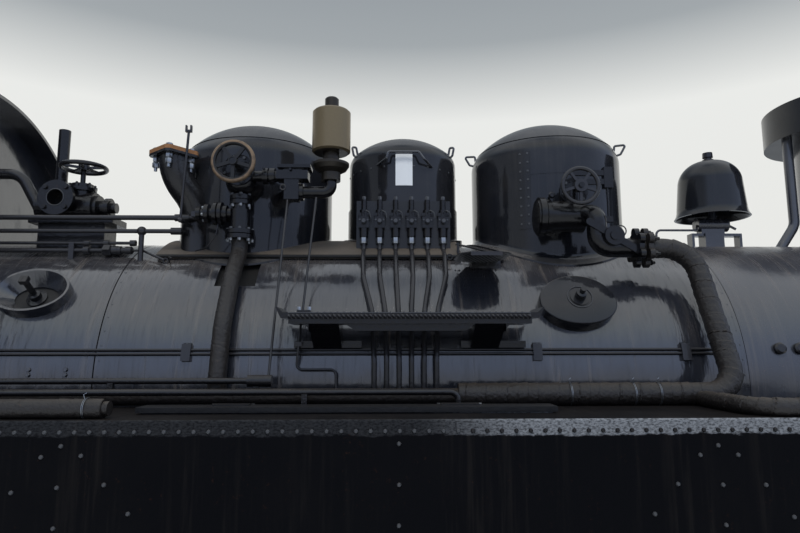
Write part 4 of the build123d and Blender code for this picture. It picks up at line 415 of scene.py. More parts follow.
def spread(tree, value, low, high, to_low=0.0, to_high=1.0):
    """A value carried from one range into another by a smooth step."""
    node = add(tree, "MapRange", interpolation_type="SMOOTHSTEP",
               inputs={"Value": value, "From Min": low, "From Max": high, "To Min": to_low, "To Max": to_high})
    return node.outputs[0]


def noise(tree, place, scale, detail, roughness):
    """The factor of a noise pattern at a place."""
    inputs = {"Vector": place, "Scale": scale, "Detail": detail, "Roughness": roughness}
    return add(tree, "TexNoise", inputs=inputs).outputs["Fac"]


def streaky(tree, place, scale, detail, roughness):
    """The factor of a noise pattern whose axes are scaled one by one, for streaks."""
    stretched = add(tree, "Mapping", inputs={"Vector": place, "Scale": scale}).outputs[0]
    return noise(tree, stretched, 1.0, detail, roughness)


def blend(tree, factor, first, second):
    """Two colours mixed by a factor."""
    return add(tree, "Mix", data_type="RGBA", inputs={0: factor, 6: first, 7: second}).outputs[2]


def axis_of(tree, vector, axis):
    """One of a vector's three numbers."""
    return add(tree, "SeparateXYZ", inputs={0: vector}).outputs[axis]


# Node groups
COLOR, FLOAT, VECTOR = "NodeSocketColor", "NodeSocketFloat", "NodeSocketVector"


def weather_group():
    """Paint with uneven patches, runs of rain, brown dust on what faces up, rust in specks, and fine strokes
    of the brush that are duller."""
    tree, inside, out = new_group(
        "Weather",
        (("Paint", COLOR, (0.02, 0.02, 0.02, 1)), ("Dust Color", COLOR, (0.2, 0.17, 0.14, 1)),
         ("Rust Color", COLOR, (0.12, 0.05, 0.025, 1)), ("Dust", FLOAT, 0.3), ("Runs", FLOAT, 0.1),
         ("Rust", FLOAT, 0.1), ("Brushed", FLOAT, 0.0), ("Place", VECTOR, None), ("Facing", VECTOR, None)),
        (("Color", COLOR), ("Dull", FLOAT)))
    place = inside.outputs["Place"]
    patches = noise(tree, place, 2.3, 5.0, 0.55)
    grit = noise(tree, place, 24.0, 3.0, 0.7)
    settled = times(tree, spread(tree, axis_of(tree, inside.outputs["Facing"], "Z"), 0.60, 0.98),
                    spread(tree, patches, 0.25, 0.7, 0.35, 1.1), spread(tree, grit, 0.3, 0.7, 0.7, 1.0))
    film = times(tree, spread(tree, patches, 0.42, 0.72), 0.10)
    dust = times(tree, plus(tree, settled, film), inside.outputs["Dust"])
    streaks = streaky(tree, place, (34.0, 3.0, 1.6), 5.0, 0.6)
    wide = streaky(tree, place, (7.0, 1.5, 0.8), 3.0, 0.5)
    runs = times(tree, spread(tree, streaks, 0.48, 0.70), spread(tree, wide, 0.35, 0.65),
                 inside.outputs["Runs"])
    dirt = combine(tree, "ADD", dust, runs, clamp=True)
    speck = spread(tree, noise(tree, place, 55.0, 6.0, 0.75), 0.60, 0.68)
    area = spread(tree, noise(tree, place, 4.0, 4.0, 0.6), 0.45, 0.62)
    rust = combine(tree, "MULTIPLY", times(tree, speck, area), inside.outputs["Rust"], clamp=True)
    bristles = streaky(tree, place, (150.0, 9.0, 7.0), 3.0, 0.6)
    strokes = times(tree, spread(tree, bristles, 0.48, 0.68), inside.outputs["Brushed"])
    dusty = blend(tree, dirt, inside.outputs["Paint"], inside.outputs["Dust Color"])
    rusty = blend(tree, rust, dusty, inside.outputs["Rust Color"])
    tree.links.new(rusty, out.inputs["Color"])
    tree.links.new(combine(tree, "ADD", plus(tree, dirt, rust), strokes, clamp=True), out.inputs["Dull"])
    return tree


def surface_group():
    """A normal with long waves of rolled sheet, small ripples and fine grain."""
    tree, inside, out = new_group(
        "Sheet Surface",
        (("Place", VECTOR, None), ("Wave", FLOAT, 0.3), ("Ripple", FLOAT, 0.1), ("Grain", FLOAT, 0.1),
         ("Grain Scale", FLOAT, 60.0)),
        (("Normal", VECTOR),))
    place = inside.outputs["Place"]
    wave = times(tree, noise(tree, place, 2.6, 2.0, 0.4), inside.outputs["Wave"], 0.05)
    ripple = times(tree, streaky(tree, place, (14.0, 5.0, 4.0), 3.0, 0.5), inside.outputs["Ripple"], 0.006)
    grain = noise(tree, place, inside.outputs["Grain Scale"], 5.0, 0.5)
    fine = times(tree, grain, inside.outputs["Grain"], 0.002)
    height = plus(tree, wave, ripple, fine)
    bump = add(tree, "Bump", inputs={"Strength": 1.0, "Distance": 1.0, "Height": height})
    tree.links.new(bump.outputs[0], out.inputs["Normal"])
    return tree


def worn_strip_group():
    """A mask on the tank's sides along the top edge, where the paint is rubbed through in scratches,
    strongest towards the front."""
    tree, inside, out = new_group(
        "Worn Strip",
        (("Place", VECTOR, None), ("Facing", VECTOR, None), ("Low", FLOAT, 1.272), ("Rear", FLOAT, -2.95)),
        (("Mask", FLOAT),))
    place, low, rear = (inside.outputs[name] for name in ("Place", "Low", "Rear"))
    upright = spread(tree, axis_of(tree, inside.outputs["Facing"], "Z"), 0.96, 0.80)
    ragged = times(tree, streaky(tree, place, (14.0, 9.0, 30.0), 5.0, 0.65), 0.04)
    height = combine(tree, "SUBTRACT", plus(tree, axis_of(tree, place, "Z"), ragged), 0.020)
    scratches = streaky(tree, place, (70.0, 60.0, 150.0), 4.0, 0.7)
    band = times(tree, spread(tree, height, low, plus(tree, low, 0.008)), upright,
                 spread(tree, scratches, 0.36, 0.60, 0.25, 1.0))
    front = spread(tree, axis_of(tree, place, "X"), rear, plus(tree, rear, 0.5), 0.10, 1.0)
    tree.links.new(times(tree, band, front), out.inputs["Mask"])
    return tree


def wheel_rim_group():
    """A mask on a handwheel's rim, beyond a radius from its centre in the plane of X and Z, in patches."""
    tree, inside, out = new_group(
        "Wheel Rim",
        (("Place", VECTOR, None), ("Centre X", FLOAT, -3.839), ("Centre Z", FLOAT, 2.547),
         ("Radius", FLOAT, 0.099)),
        (("Mask", FLOAT),))
    place = inside.outputs["Place"]
    across = combine(tree, "SUBTRACT", axis_of(tree, place, "X"), inside.outputs["Centre X"])
    up = combine(tree, "SUBTRACT", axis_of(tree, place, "Z"), inside.outputs["Centre Z"])
    reach = combine(tree, "SQRT", plus(tree, times(tree, across, across), times(tree, up, up)))
    beyond = combine(tree, "GREATER_THAN", reach, inside.outputs["Radius"])
    rubbed = spread(tree, noise(tree, place, 38.0, 4.0, 0.6), 0.30, 0.55, 0.35, 1.0)
    tree.links.new(times(tree, beyond, rubbed), out.inputs["Mask"])
    return tree


def level_band_group():
    """A mask between two heights."""
    tree, inside, out = new_group(
        "Level Band",
        (("Place", VECTOR, None), ("Low", FLOAT, 2.641), ("High", FLOAT, 2.883)),
        (("Mask", FLOAT),))
    height = axis_of(tree, inside.outputs["Place"], "Z")
    band = times(tree, combine(tree, "GREATER_THAN", height, inside.outputs["Low"]),
                 combine(tree, "LESS_THAN", height, inside.outputs["High"]))
    tree.links.new(band, out.inputs["Mask"])
    return tree


WEATHER, SURFACE = weather_group(), surface_group()
WORN_STRIP, WHEEL_RIM, LEVEL_BAND = worn_strip_group(), wheel_rim_group(), level_band_group()


# Materials
def material(name, color, roughness, dull, dust, rust, metallic=0.0, runs=0.0, wave=0.0, ripple=0.0,
             grain=0.2, dust_color=(0.17, 0.145, 0.12), rust_color=(0.12, 0.05, 0.025), specular=0.5,
             coat=0.0, coat_roughness=0.0, brushed=0.0, accent=None, accent_color=None):
    """A weathered surface: the groups' colour, dullness and normal on one shader. An accent is a mask group
    that brings in a second colour."""
    made = bpy.data.materials.new(name)
    made.use_nodes = True
    tree = made.node_tree
    shader = tree.nodes["Principled BSDF"]
    where = add(tree, "TexCoord")
    place, facing = where.outputs["Object"], where.outputs["Normal"]
    weather = placed(tree, WEATHER, paint=(*color, 1), dust_color=(*dust_color, 1),
                     rust_color=(*rust_color, 1), dust=dust, runs=runs, rust=rust, brushed=brushed,
                     place=place, facing=facing)
    surface = placed(tree, SURFACE, wave=wave, ripple=ripple, grain=grain, place=place)
    base = weather.outputs["Color"]
    if accent:
        mask = placed(tree, accent, place=place)
        if "Facing" in mask.inputs:
            tree.links.new(facing, mask.inputs["Facing"])
        base = blend(tree, mask.outputs["Mask"], base, (*accent_color, 1))
    tree.links.new(base, shader.inputs["Base Color"])
    rough = spread(tree, weather.outputs["Dull"], 0.0, 1.0, roughness, dull)
    tree.links.new(rough, shader.inputs["Roughness"])
    tree.links.new(surface.outputs["Normal"], shader.inputs["Normal"])
    if coat:
        clean = spread(tree, weather.outputs["Dull"], 0.0, 0.6, coat, 0.0)
        tree.links.new(clean, shader.inputs["Coat Weight"])
        shader.inputs["Coat Roughness"].default_value = coat_roughness
    shader.inputs["Metallic"].default_value = metallic
    shader.inputs["Specular IOR Level"].default_value = specular
    return made


BROWN_DUST = (0.13, 0.105, 0.08)
DARK_RUST = (0.08, 0.045, 0.028)
# One finish for each material slot of the record
PAINT = {
    "gloss_paint": material(
        "Gloss Black Cladding", (0.016, 0.018, 0.024), 0.14, 0.6, dust=0.40, runs=0.30, rust=0.12, wave=0.20,
        ripple=1.10, grain=0.12, specular=0.8, coat=0.82, coat_roughness=0.07, brushed=0.30),
    "smokebox_paint": material(
        "Smokebox Black", (0.024, 0.027, 0.036), 0.22, 0.6, dust=0.40, runs=0.2, rust=0.35, wave=0.14,
        ripple=0.3, grain=0.3, specular=0.8, coat=0.4, coat_roughness=0.2, brushed=0.15),
    "tank_paint": material(
        "Tank Black", (0.0022, 0.0024, 0.0035), 0.42, 0.7, dust=0.06, runs=0.03, rust=0.12, wave=0.10,
        ripple=0.3, grain=0.4, specular=0.05, accent=WORN_STRIP, accent_color=(0.20, 0.21, 0.225)),
    "fitting_paint": material(
        "Fittings Black", (0.0085, 0.0085, 0.010), 0.24, 0.6, dust=0.16, rust=0.25, grain=0.9),
    "plate_steel": material(
        "Plate Steel", (0.02, 0.019, 0.018), 0.6, 0.8, metallic=0.2, dust=0.15, rust=0.5, grain=1.0),
    "cast_iron": material(
        "Cast Iron", (0.05, 0.047, 0.045), 0.6, 0.8, dust=0.3, rust=0.6, grain=1.5),
    "worn_steel": material(
        "Worn Dark Steel", (0.030, 0.030, 0.033), 0.20, 0.6, metallic=0.4, dust=0.15, rust=0.30, grain=0.5),
    "rusty_steel": material(
        "Rusted Plate", (0.25, 0.115, 0.045), 0.7, 0.85, dust=0.2, rust=0.9, grain=2.0,
        rust_color=(0.10, 0.04, 0.02)),
    "brass": material(
        "Dark Brass", (0.030, 0.026, 0.021), 0.34, 0.6, metallic=0.6, dust=0.1, runs=0.35, rust=0.5,
        grain=0.5, dust_color=(0.07, 0.055, 0.04), rust_color=(0.05, 0.035, 0.025), accent=LEVEL_BAND,
        accent_color=(0.165, 0.128, 0.074)),
    "bronze": material(
        "Worn Bronze Rim", (0.012, 0.012, 0.013), 0.38, 0.7, metallic=0.3, dust=0.15, rust=0.4, grain=0.6,
        rust_color=(0.07, 0.05, 0.035), accent=WHEEL_RIM, accent_color=(0.17, 0.115, 0.070)),
    "lagging": material(
        "Wrapped Lagging", (0.014, 0.012, 0.011), 0.45, 0.85, dust=0.28, rust=0.35, grain=2.5,
        dust_color=BROWN_DUST, rust_color=DARK_RUST),
    "enamel": material(
        "White Enamel", (0.66, 0.68, 0.69), 0.25, 0.5, dust=0.1, rust=0.1, grain=0.05),
}
# Finishes of single nodes and of the new pieces
DOME_BLACK = material("Gloss Black Domes", (0.009, 0.010, 0.013), 0.10, 0.5, dust=0.75, runs=0.05, rust=0.06,
                      wave=0.10, ripple=0.12, grain=0.05, dust_color=(0.14, 0.13, 0.12), specular=0.42)
SAND_BLACK = material("Sand Box Black", (0.009, 0.010, 0.012), 0.24, 0.5, dust=0.4, runs=0.05, rust=0.1,
                      wave=0.2, ripple=0.2, grain=0.3, specular=0.42)
VALVE_BLACK = material("Valve Black", (0.004, 0.004, 0.005), 0.20, 0.6, dust=0.12, rust=0.15, grain=0.8,
                       specular=0.42)
LID_BLACK = material("Lid Black", (0.006, 0.0065, 0.008), 0.30, 0.6, dust=0.06, runs=0.03, rust=0.12, wave=0.1,
                     ripple=0.3, grain=0.4, specular=0.40)
# Near-black matt finish used as painted shade: on the barrel inside the cladding's cut-out below the pipe, and
# on the beads under the cover sheet's edges.
SHADE_BLACK = material("Matt Black Painted Shade", (0.006, 0.006, 0.006), 0.6, 0.8, dust=0.1, rust=0.1, grain=0.6)
DUSTY_COVER = material("Dusty Cover Sheet", (0.050, 0.043, 0.036), 0.55, 0.85, dust=0.6, rust=0.4, wave=0.1,
                       grain=0.8, dust_color=BROWN_DUST, rust_color=DARK_RUST)
ZINC = material("Zinc Bolts", (0.30, 0.32, 0.35), 0.32, 0.6, metallic=0.9, dust=0.1, rust=0.3, grain=0.4)
WORN_RIVET = material("Worn Rivet Heads", (0.055, 0.058, 0.064), 0.30, 0.6, metallic=0.3, dust=0.2, rust=0.2)
NODE_FINISHES = {
    **dict.fromkeys(("steam_dome", "steam_dome_crown", "feed_dome", "feed_dome_crown", "sand_dome_top", "bell",
                     "washout_covers"), DOME_BLACK),
    **dict.fromkeys(("sand_valves", "dome_valve", "feed_valve", "turret", "steps", "bracket_shelf",
                     "whistle_valve"), VALVE_BLACK),
    **dict.fromkeys(("sand_dome", "chimney_hood"), SAND_BLACK),
    **dict.fromkeys(("filler_lid_right", "filler_lid_left"), LID_BLACK),
    # The barrel showing through the cladding's cut-out is finished near black as the pipe's shadow there,
    # painted.
    "barrel_shell": SHADE_BLACK,
}


def paint_nodes():
    """Gives each CAD node the finish of its slot in the record, or its own."""
    for part in frame["record"]["subparts"]:
        name = part["node"]
        mesh = NODES[name].data
        mesh.materials.clear()
        mesh.materials.append(NODE_FINISHES.get(name, PAINT[part["material_slot"]]))


# Tanks and cladding
def tank_rivets():
    """A row of rivets below the tank's top edge and the stays' heads, on both outer sides: the heads are
    bright where the paint has gone from them, and black in the rubbed strip."""
    row = np.stack((RIVET_XS, np.full(len(RIVET_XS), RIVET_ROW_DROP)), 1)
    for side, hand in ((-1, "right"), (1, "left")):
        for kind, places, finish in (("worn_rivets", row[RIVET_XS < RUBBED_X], WORN_RIVET),
                                     ("black_rivets", row[RIVET_XS >= RUBBED_X], VALVE_BLACK),
                                     ("stay_heads", np.array(STAYS), WORN_RIVET)):
            at = grid(places[:, 0], side * TANK_OUT, TANK_TOP - places[:, 1])
            heads = repeated(rivet(RIVET_R, RIVET_H), at, (0, side, 0))
            piece(f"{kind}_{hand}", [heads], finish, slot="tank_paint")


def cladding_screws():
    """Ears and bolts of the conduits' clips, and the cladding's bolts and screws, on the right side."""
    ears, bolts = [], []
    for angle in CLIP_ANGLES:
        at, out = on_clad(np.array(CLIP_XS), angle), off_clad(angle)
        ears.append(repeated(block((-0.020, -0.012, -0.001), (0.020, 0.012, 0.004)), at, out))
        bolts.append(repeated(hexagon(0.0085, 0.010), at + out * 0.004, out))
    piece("clip_ears", ears, slot="fitting_paint")
    piece("clip_bolts", bolts, WORN_RIVET, slot="worn_steel")
    heads = [repeated(hexagon(0.011, 0.009), on_clad(np.array(SHEET_BOLT_XS), angle), off_clad(angle))
             for angle in SHEET_BOLT_ANGLES]
    heads.append(repeated(rivet(0.006, 0.004), on_clad(np.array(HIGH_SCREW_XS), HIGH_SCREW_ANGLE),
                          off_clad(HIGH_SCREW_ANGLE)))
    for x in (REAR_SEAM_X + SEAM_SCREW_OFF, FRONT_SEAM_X - SEAM_SCREW_OFF):
        heads.append(repeated(rivet(0.0045, 0.0025), on_clad(x, SEAM_SCREW_ANGLES),
                              off_clad(SEAM_SCREW_ANGLES)))
    piece("cladding_screws", heads)


def cover_sheet():
    """The sheet over the boiler's top between the domes: an arc about the boiler's centre line at its
    radius, from edge to edge, with both edges folded down; its section is carried along the boiler."""
    turn = np.radians(np.linspace(COVER_ANGLE, 180 - COVER_ANGLE, 49))
    outer = np.stack((-COVER_R * np.cos(turn), COVER_R * np.sin(turn)), 1)
    inner = outer * (1 - COVER_T / COVER_R)
    lip = outer * (1 - COVER_FOLD / COVER_R)
    section = np.concatenate((lip[:1], outer, lip[-1:], lip[-1:] + (-COVER_T, 0.0), inner[-2:0:-1],
                              lip[:1] + (COVER_T, 0.0)))
    along = np.linspace(*COVER_X, 40)
    piece("top_cover", [carried(grid(along[:, None], section[:, 0], AXIS_Z + section[:, 1]))], DUSTY_COVER)
    # Round beads along both lower edges, finished near-black matt as painted shade under the sheet's edges.
    edge_y, edge_z = outer[-1] + (0.001, -0.010)
    beads = [tube(grid(along, side * edge_y, AXIS_Z + edge_z), COVER_BEAD_R, 10) for side in (-1, 1)]
    piece("cover_edges_painted_shade", beads, SHADE_BLACK)


def foot_plate():
    """The small foot plate on its bracket behind the feed dome: eight corners and a folded front edge, with
    raised studs in rows on both faces, each row set half a pitch from the next."""
    (x0, x1), (y0, y1), (z0, z1) = FOOT_X, FOOT_Y, FOOT_Z
    outline = np.array(((x0 + FOOT_CUT, y0), (x1 - FOOT_CUT, y0), (x1, y0 + FOOT_CUT),
                        (x1, y1 - FOOT_BACK_CUT), (x1 - 0.05, y1), (x0 + 0.08, y1),
                        (x0, y1 - FOOT_BACK_CUT), (x0, y0 + FOOT_CUT)))
    levels = grid(outline[:, 0], outline[:, 1], np.array(FOOT_Z)[:, None])
    lip = block((x0 + FOOT_CUT, y0, z0 - FOOT_LIP), (x1 - FOOT_CUT, y0 + 0.006, z0))
    piece("foot_plate", [carried(levels), lip], slot="worn_steel")
    column, row = np.meshgrid(np.arange(11), np.arange(13), indexing="ij")
    across = x0 + STUD_PITCH * (1 + column + row % 2 / 2)
    back = y0 + 0.024 + STUD_ROWS_APART * row
    kept = (across < x1 - 0.02) & (back - y0 + np.minimum(across - x0, x1 - across) > FOOT_CUT + 0.012)
    dots = [repeated(rivet(0.0060, 0.0022), grid(across[kept], back[kept], z), way)
            for z, way in ((z0, DOWN), (z1, UP))]
    piece("foot_plate_studs", dots, WORN_RIVET, slot="worn_steel")


# Lagging
def wound(path, radius, pitch, lap):
    """Tape wound round a pipe: the radius grows by the lap over each turn and falls back at the next, so
    radius = pipe + lap times the fraction of (length / pitch + angle), with slow unevenness."""
    sides = 28
    steps = np.linalg.norm(np.diff(path, axis=0), axis=1)
    length = np.concatenate(((0.0,), np.cumsum(steps)))
    phase = length[:, None] / pitch + np.arange(sides) / sides
    uneven = 0.35 * np.sin(phase // 1 * 2.4) + 0.25 * np.sin(phase // 1 * 5.1)
    drop = (phase + 0.12 * np.sin(phase // 1 * 3.3)) % 1.0
    return tube(path, radius + 0.0008 + lap * (1 - drop) * (1 + uneven), sides)


def lagging():
    """Tape round the lagged pipes, and wire ties of two loops with a twisted end."""
    rear_route = ((REAR_PIPE_X, STOP_VALVE_Y, 2.150), (REAR_PIPE_X, STOP_VALVE_Y, 2.100),
                  *on_clad(REAR_PIPE_X, REAR_PIPE_ANGLES, REAR_PIPE_OFF),
                  (REAR_PIPE_X, -(CLAD_R + REAR_PIPE_OFF), 1.15))
    rear_pipe = (REAR_PIPE_R, rear_route, REAR_PIPE_BENDS)
    tapes = ((MAIN_PIPE, 0.046, 0.0034), (rear_pipe, 0.075, 0.0016), (SECOND_PIPE, 0.044, 0.0034),
             (OUTER_PIPE, 0.060, 0.0014))
    shapes = [wound(arcs(route, bends, TAPE_STEP), radius, pitch, lap)
              for (radius, route, bends), pitch, lap in tapes]
    piece("lagging_tape", shapes, slot="lagging", smooth=30)
    ties = []
    for x, radius, y, z in WIRE_TIES:
        ties += [hoop((x + offset, y, z), FORWARD, radius + 0.0050, 36, 0.0011, 6) for offset in (0.0, 0.005)]
        ties.append(tube(((x, y - radius * 0.4, z + radius),
                          (x - 0.004, y - radius * 0.5, z + radius + 0.018),
                          (x + 0.006, y - radius * 0.4, z + radius + 0.024)), 0.0015, 6))
    piece("wire_ties", ties, ZINC, slot="worn_steel")


# Fittings on the domes
def sand_valve_details():
    """Zinc nuts under the sand valves, their spindle tips and bonnet bolts, and their bent wire handles."""
    at = grid(VALVE_XS, VALVE_Y, VALVE_NUT_Z)
    top = at + (0, 0, VALVE_TALL)
    nut = lathe(((0.0195, 0.0), (0.0222, 0.004), (0.0222, 0.034), (0.0195, 0.038)), 6)
    piece("valve_nuts", [repeated(nut, at + (0, 0, 0.001), UP, pi / 6)], ZINC, slot="worn_steel")
    tips = [repeated(hexagon(0.012, 0.020), top, UP),
            repeated(hexagon(0.013, 0.010), top + (0, -0.0445, -0.130), RIGHT)]
    tips += [repeated(hexagon(0.0065, 0.006), top + (side * 0.022, -0.026, -0.120), RIGHT) for side in (-1, 1)]
    piece("valve_tips", tips, WORN_RIVET, slot="worn_steel")
    bend = np.array(((0, -0.040, 0.175), (0.012, -0.062, 0.182), (0.034, -0.060, 0.170),
                     (0.040, -0.052, 0.142)))
    handles = [tube(arcs(start + bend, (0.008, 0.012), 0.003), 0.0032, 8) for start in at]
    piece("valve_handles", handles, WORN_RIVET, slot="worn_steel")


def vent_bolts():
    """The four long bolts through the blank plate on the vent, with their nuts below."""
    turn = asin(-VENT_Y / sqrt((STEAM_X - VENT_X) ** 2 + VENT_Y ** 2))
    corners = np.array(((-1, -1), (1, -1), (1, 1), (-1, 1))) * VENT_BOLT_OFF
    turned = corners @ np.array(((cos(turn), sin(turn)), (-sin(turn), cos(turn)))) + (VENT_X, VENT_Y)
    low = grid(turned[:, 0], turned[:, 1], VENT_NUT_Z)
    shank = lathe(((0.009, 0.0), (0.009, 0.083)), 10)
    nut = lathe(((0.017, 0.0), (0.019, 0.004), (0.019, 0.026), (0.017, 0.029)), 6)
    shapes = [repeated(shank, low, UP), repeated(nut, low + (0, 0, 0.020), UP),
              repeated(nut, low + (0, 0, 0.054), UP, 0.4),
              repeated(hexagon(0.019, 0.016), grid(turned[:, 0], turned[:, 1], VENT_HEAD_Z), UP)]
    piece("vent_bolts", shapes, ZINC, slot="worn_steel")


def wall_strip(centre_x, azimuths, heights, thick):
    """A thin strip bent round a dome's wall between two azimuths and two heights: its section is turned
    about the dome's axis, from the second azimuth back to the first."""
    turn = np.linspace(*azimuths[::-1], max(3, int(abs(azimuths[1] - azimuths[0]) / 2)))
    low, high = heights
    corners = [dome_wall(centre_x, turn, z, lift)
               for lift, z in ((-0.002, low), (thick, low), (thick, high), (-0.002, high))]
    return carried(np.stack(corners, 1))


def feed_dome_strips():
    """The riveted strip and the lapped seam on the feed dome, and the same on its far side."""
    strips, heads = [], []
    for offset in (0.0, 180.0):
        for (first, last), heights, thick in FEED_STRIPS:
            strips.append(wall_strip(FEED_X, (first + offset, last + offset), heights, thick))
        for azimuth in FEED_RIVET_AZIMUTHS:
            at = dome_wall(FEED_X, azimuth + offset, FEED_RIVET_ZS, 0.003)
            heads.append(repeated(rivet(0.0075, 0.0045), at, off_dome(azimuth + offset)))
    piece("feed_dome_strips", strips, DOME_BLACK)
    piece("feed_dome_rivets", heads, WORN_RIVET)


def sand_dome_rivets():
    """Rivets round the sand box: along the top seam and along the foot, on its wall."""
    heads = []
    for height in SAND_RIVET_ZS:
        at = dome_wall(SAND_X, SAND_RIVET_AZIMUTHS, height, radius=SAND_DOME_R)
        heads.append(repeated(rivet(0.0062, 0.0035), at, off_dome(SAND_RIVET_AZIMUTHS)))
    piece("sand_dome_rivets", heads, WORN_RIVET)


# Bolts of the valves' flanges
def bolt_circle(head, centre, way, radius, count, phase=0.0, out=None, lift=0.0):
    """Heads on a circle about a centre, square to a way. They point that way, or out, and stand off by a
    lift."""
    out = np.array(out or way, float)
    return repeated(head, circle(centre, way, radius, count, phase) + out * lift, out)


def flange_bolts():
    """Bolts on the flanges of the stop valve, the feed valve, the main pipe's joint and the turret."""
    worn, zinc, black = [], [], []
    for z, radius, count in ((2.170, 0.064, 8), (2.360, 0.049, 6)):
        flange = ((STOP_VALVE_X, STOP_VALVE_Y, z), UP, radius, count, 0.2)
        worn.append(bolt_circle(hexagon(0.0095, 0.012), *flange, lift=0.049))
        zinc.append(bolt_circle(hexagon(0.0095, 0.014), *flange, out=DOWN))
    bonnet = (STOP_VALVE_X, STOP_VALVE_Y - 0.090, 2.533)
    worn.append(bolt_circle(hexagon(0.009, 0.011), bonnet, RIGHT, 0.070, 8, 0.3))
    for x, out in ((-4.029, BACKWARD), (-3.979, FORWARD)):
        branch = ((x, STOP_VALVE_Y, 2.312), FORWARD, 0.040, 6, 0.3)
        zinc.append(bolt_circle(hexagon(0.008, 0.012), *branch, out=out))
    joint = (PIPE_JOINT, FORWARD, 0.077, 6, pi / 2)
    black += [bolt_circle(head, *joint) for head in (hexagon(0.016, 0.020), stud(0.009, 0.034))]
    worn.append(bolt_circle(hexagon(0.016, 0.018), *joint, out=BACKWARD, lift=0.050))
    worn.append(bolt_circle(hexagon(0.009, 0.010), (-2.038, -0.640, 2.425), RIGHT, 0.062, 6, 0.3))
    black.append(bolt_circle(hexagon(0.013, 0.012), TURRET_FACE, RIGHT, 0.080, 4, pi / 4))
    for head in (hexagon(0.013, 0.016), stud(0.007, 0.028)):
        black.append(bolt_circle(head, TURRET_BONNET, UP, 0.066, 6))
    black.append(repeated(hexagon(0.008, 0.008), ((-3.700, -0.654, 2.535), (-3.560, -0.654, 2.535)), RIGHT))
    worn.append(hoop(np.add(TURRET_FACE, (0, -0.0005, 0)), (0, 1, 0), 0.0475, 32, 0.0030, 8))
    piece("black_bolts", black, VALVE_BLACK, slot="fitting_paint")
    piece("flange_bolts", worn, WORN_RIVET, slot="worn_steel")
    piece("flange_nuts", zinc, ZINC, slot="worn_steel")


# Fittings on the right side
def washout_ring():
    """A ring round the front washout cover's stud."""
    x, angle, lift = -2.078, 29.3, 0.0835
    ring = hoop(on_clad(x, angle, lift), off_clad(angle), 0.062, 40, 0.0022, 8)
    piece("washout_ring", [ring], WORN_RIVET)


def step_teeth():
    """The row of teeth along the step's front edge: each is a leaning ridge, a small wave of the edge's
    face along the step, depth = root of the wave of (length / pitch + lean times height). A rubbed strip
    lies along their top, and low ridges cross the tread."""
    along = np.linspace(STEP_FRONT_X, STEP_REAR_X, 660)[:, None]
    up = np.linspace(0, 1, 7)
    wave = np.sqrt(0.5 + 0.5 * np.sin(2 * pi * (along / TOOTH_PITCH + up * TOOTH_LEAN)))
    face = grid(along, STEP_Y - 0.0015 - TOOTH_DEPTH * wave * np.sin(pi * up),
                STEP_LOW_Z + (STEP_HIGH_Z - STEP_LOW_Z) * up)
    back = grid(along, STEP_Y + 0.004, np.array((STEP_HIGH_Z, STEP_LOW_Z)))
    piece("step_teeth", [carried(np.concatenate((face, back), 1))], slot="worn_steel")
    strip = block((STEP_REAR_X, STEP_Y - 0.006, STEP_HIGH_Z),
                  (STEP_FRONT_X, STEP_Y + 0.004, STEP_HIGH_Z + 0.004))
    piece("step_strip", [strip], WORN_RIVET, slot="worn_steel")
    ridges = [block((x, -1.044, TREAD_Z), (x + 0.006, -0.840, TREAD_Z + 0.0027)) for x in RIDGE_XS]
    piece("tread_ridges", ridges, slot="worn_steel")


def thin_pipe_ends():
    """The thin pipe's nut, union and tail, a wire beside the steam dome, and small eyes at the valves."""
    nut = lathe(((0.028, 0.0), (0.034, 0.004), (0.034, 0.040), (0.028, 0.044)), 6)
    union = lathe(((0.018, 0.0), (0.024, 0.006), (0.024, 0.034), (0.017, 0.036), (0.017, 0.056),
                   (0.022, 0.058), (0.022, 0.090), (0.014, 0.096)), 12)
    tail = arcs(((-4.50, THIN_Y, THIN_Z), (-4.40, THIN_Y, THIN_Z), (-4.33, -0.480, 2.095),
                 (-4.25, -0.520, 2.062)), (0.04, 0.04), 0.008)
    wire = arcs(((-4.10, -0.485, 2.118), (-4.02, -0.545, 2.130), (-3.965, -0.570, 2.190),
                 (-3.955, -0.565, 2.270)), (0.05, 0.05), 0.008)
    shapes = [repeated(nut, (-4.613, THIN_Y, THIN_Z), FORWARD),
              repeated(union, (-4.550, THIN_Y, THIN_Z), FORWARD),
              tube(tail, 0.007, 8), hoop((-4.245, -0.522, 2.060), RIGHT, 0.013, 18, 0.0030, 6),
              tube(wire, 0.0035, 6), hoop((-3.600, -0.640, 2.440), RIGHT, 0.014, 20, 0.0045, 8),
              hoop((-1.838, -0.745, 2.187), RIGHT, 0.028, 24, 0.0035, 8),
              repeated(hexagon(0.012, 0.014), (-1.838, -0.740, 2.187), RIGHT)]
    piece("thin_unions", shapes, slot="worn_steel")


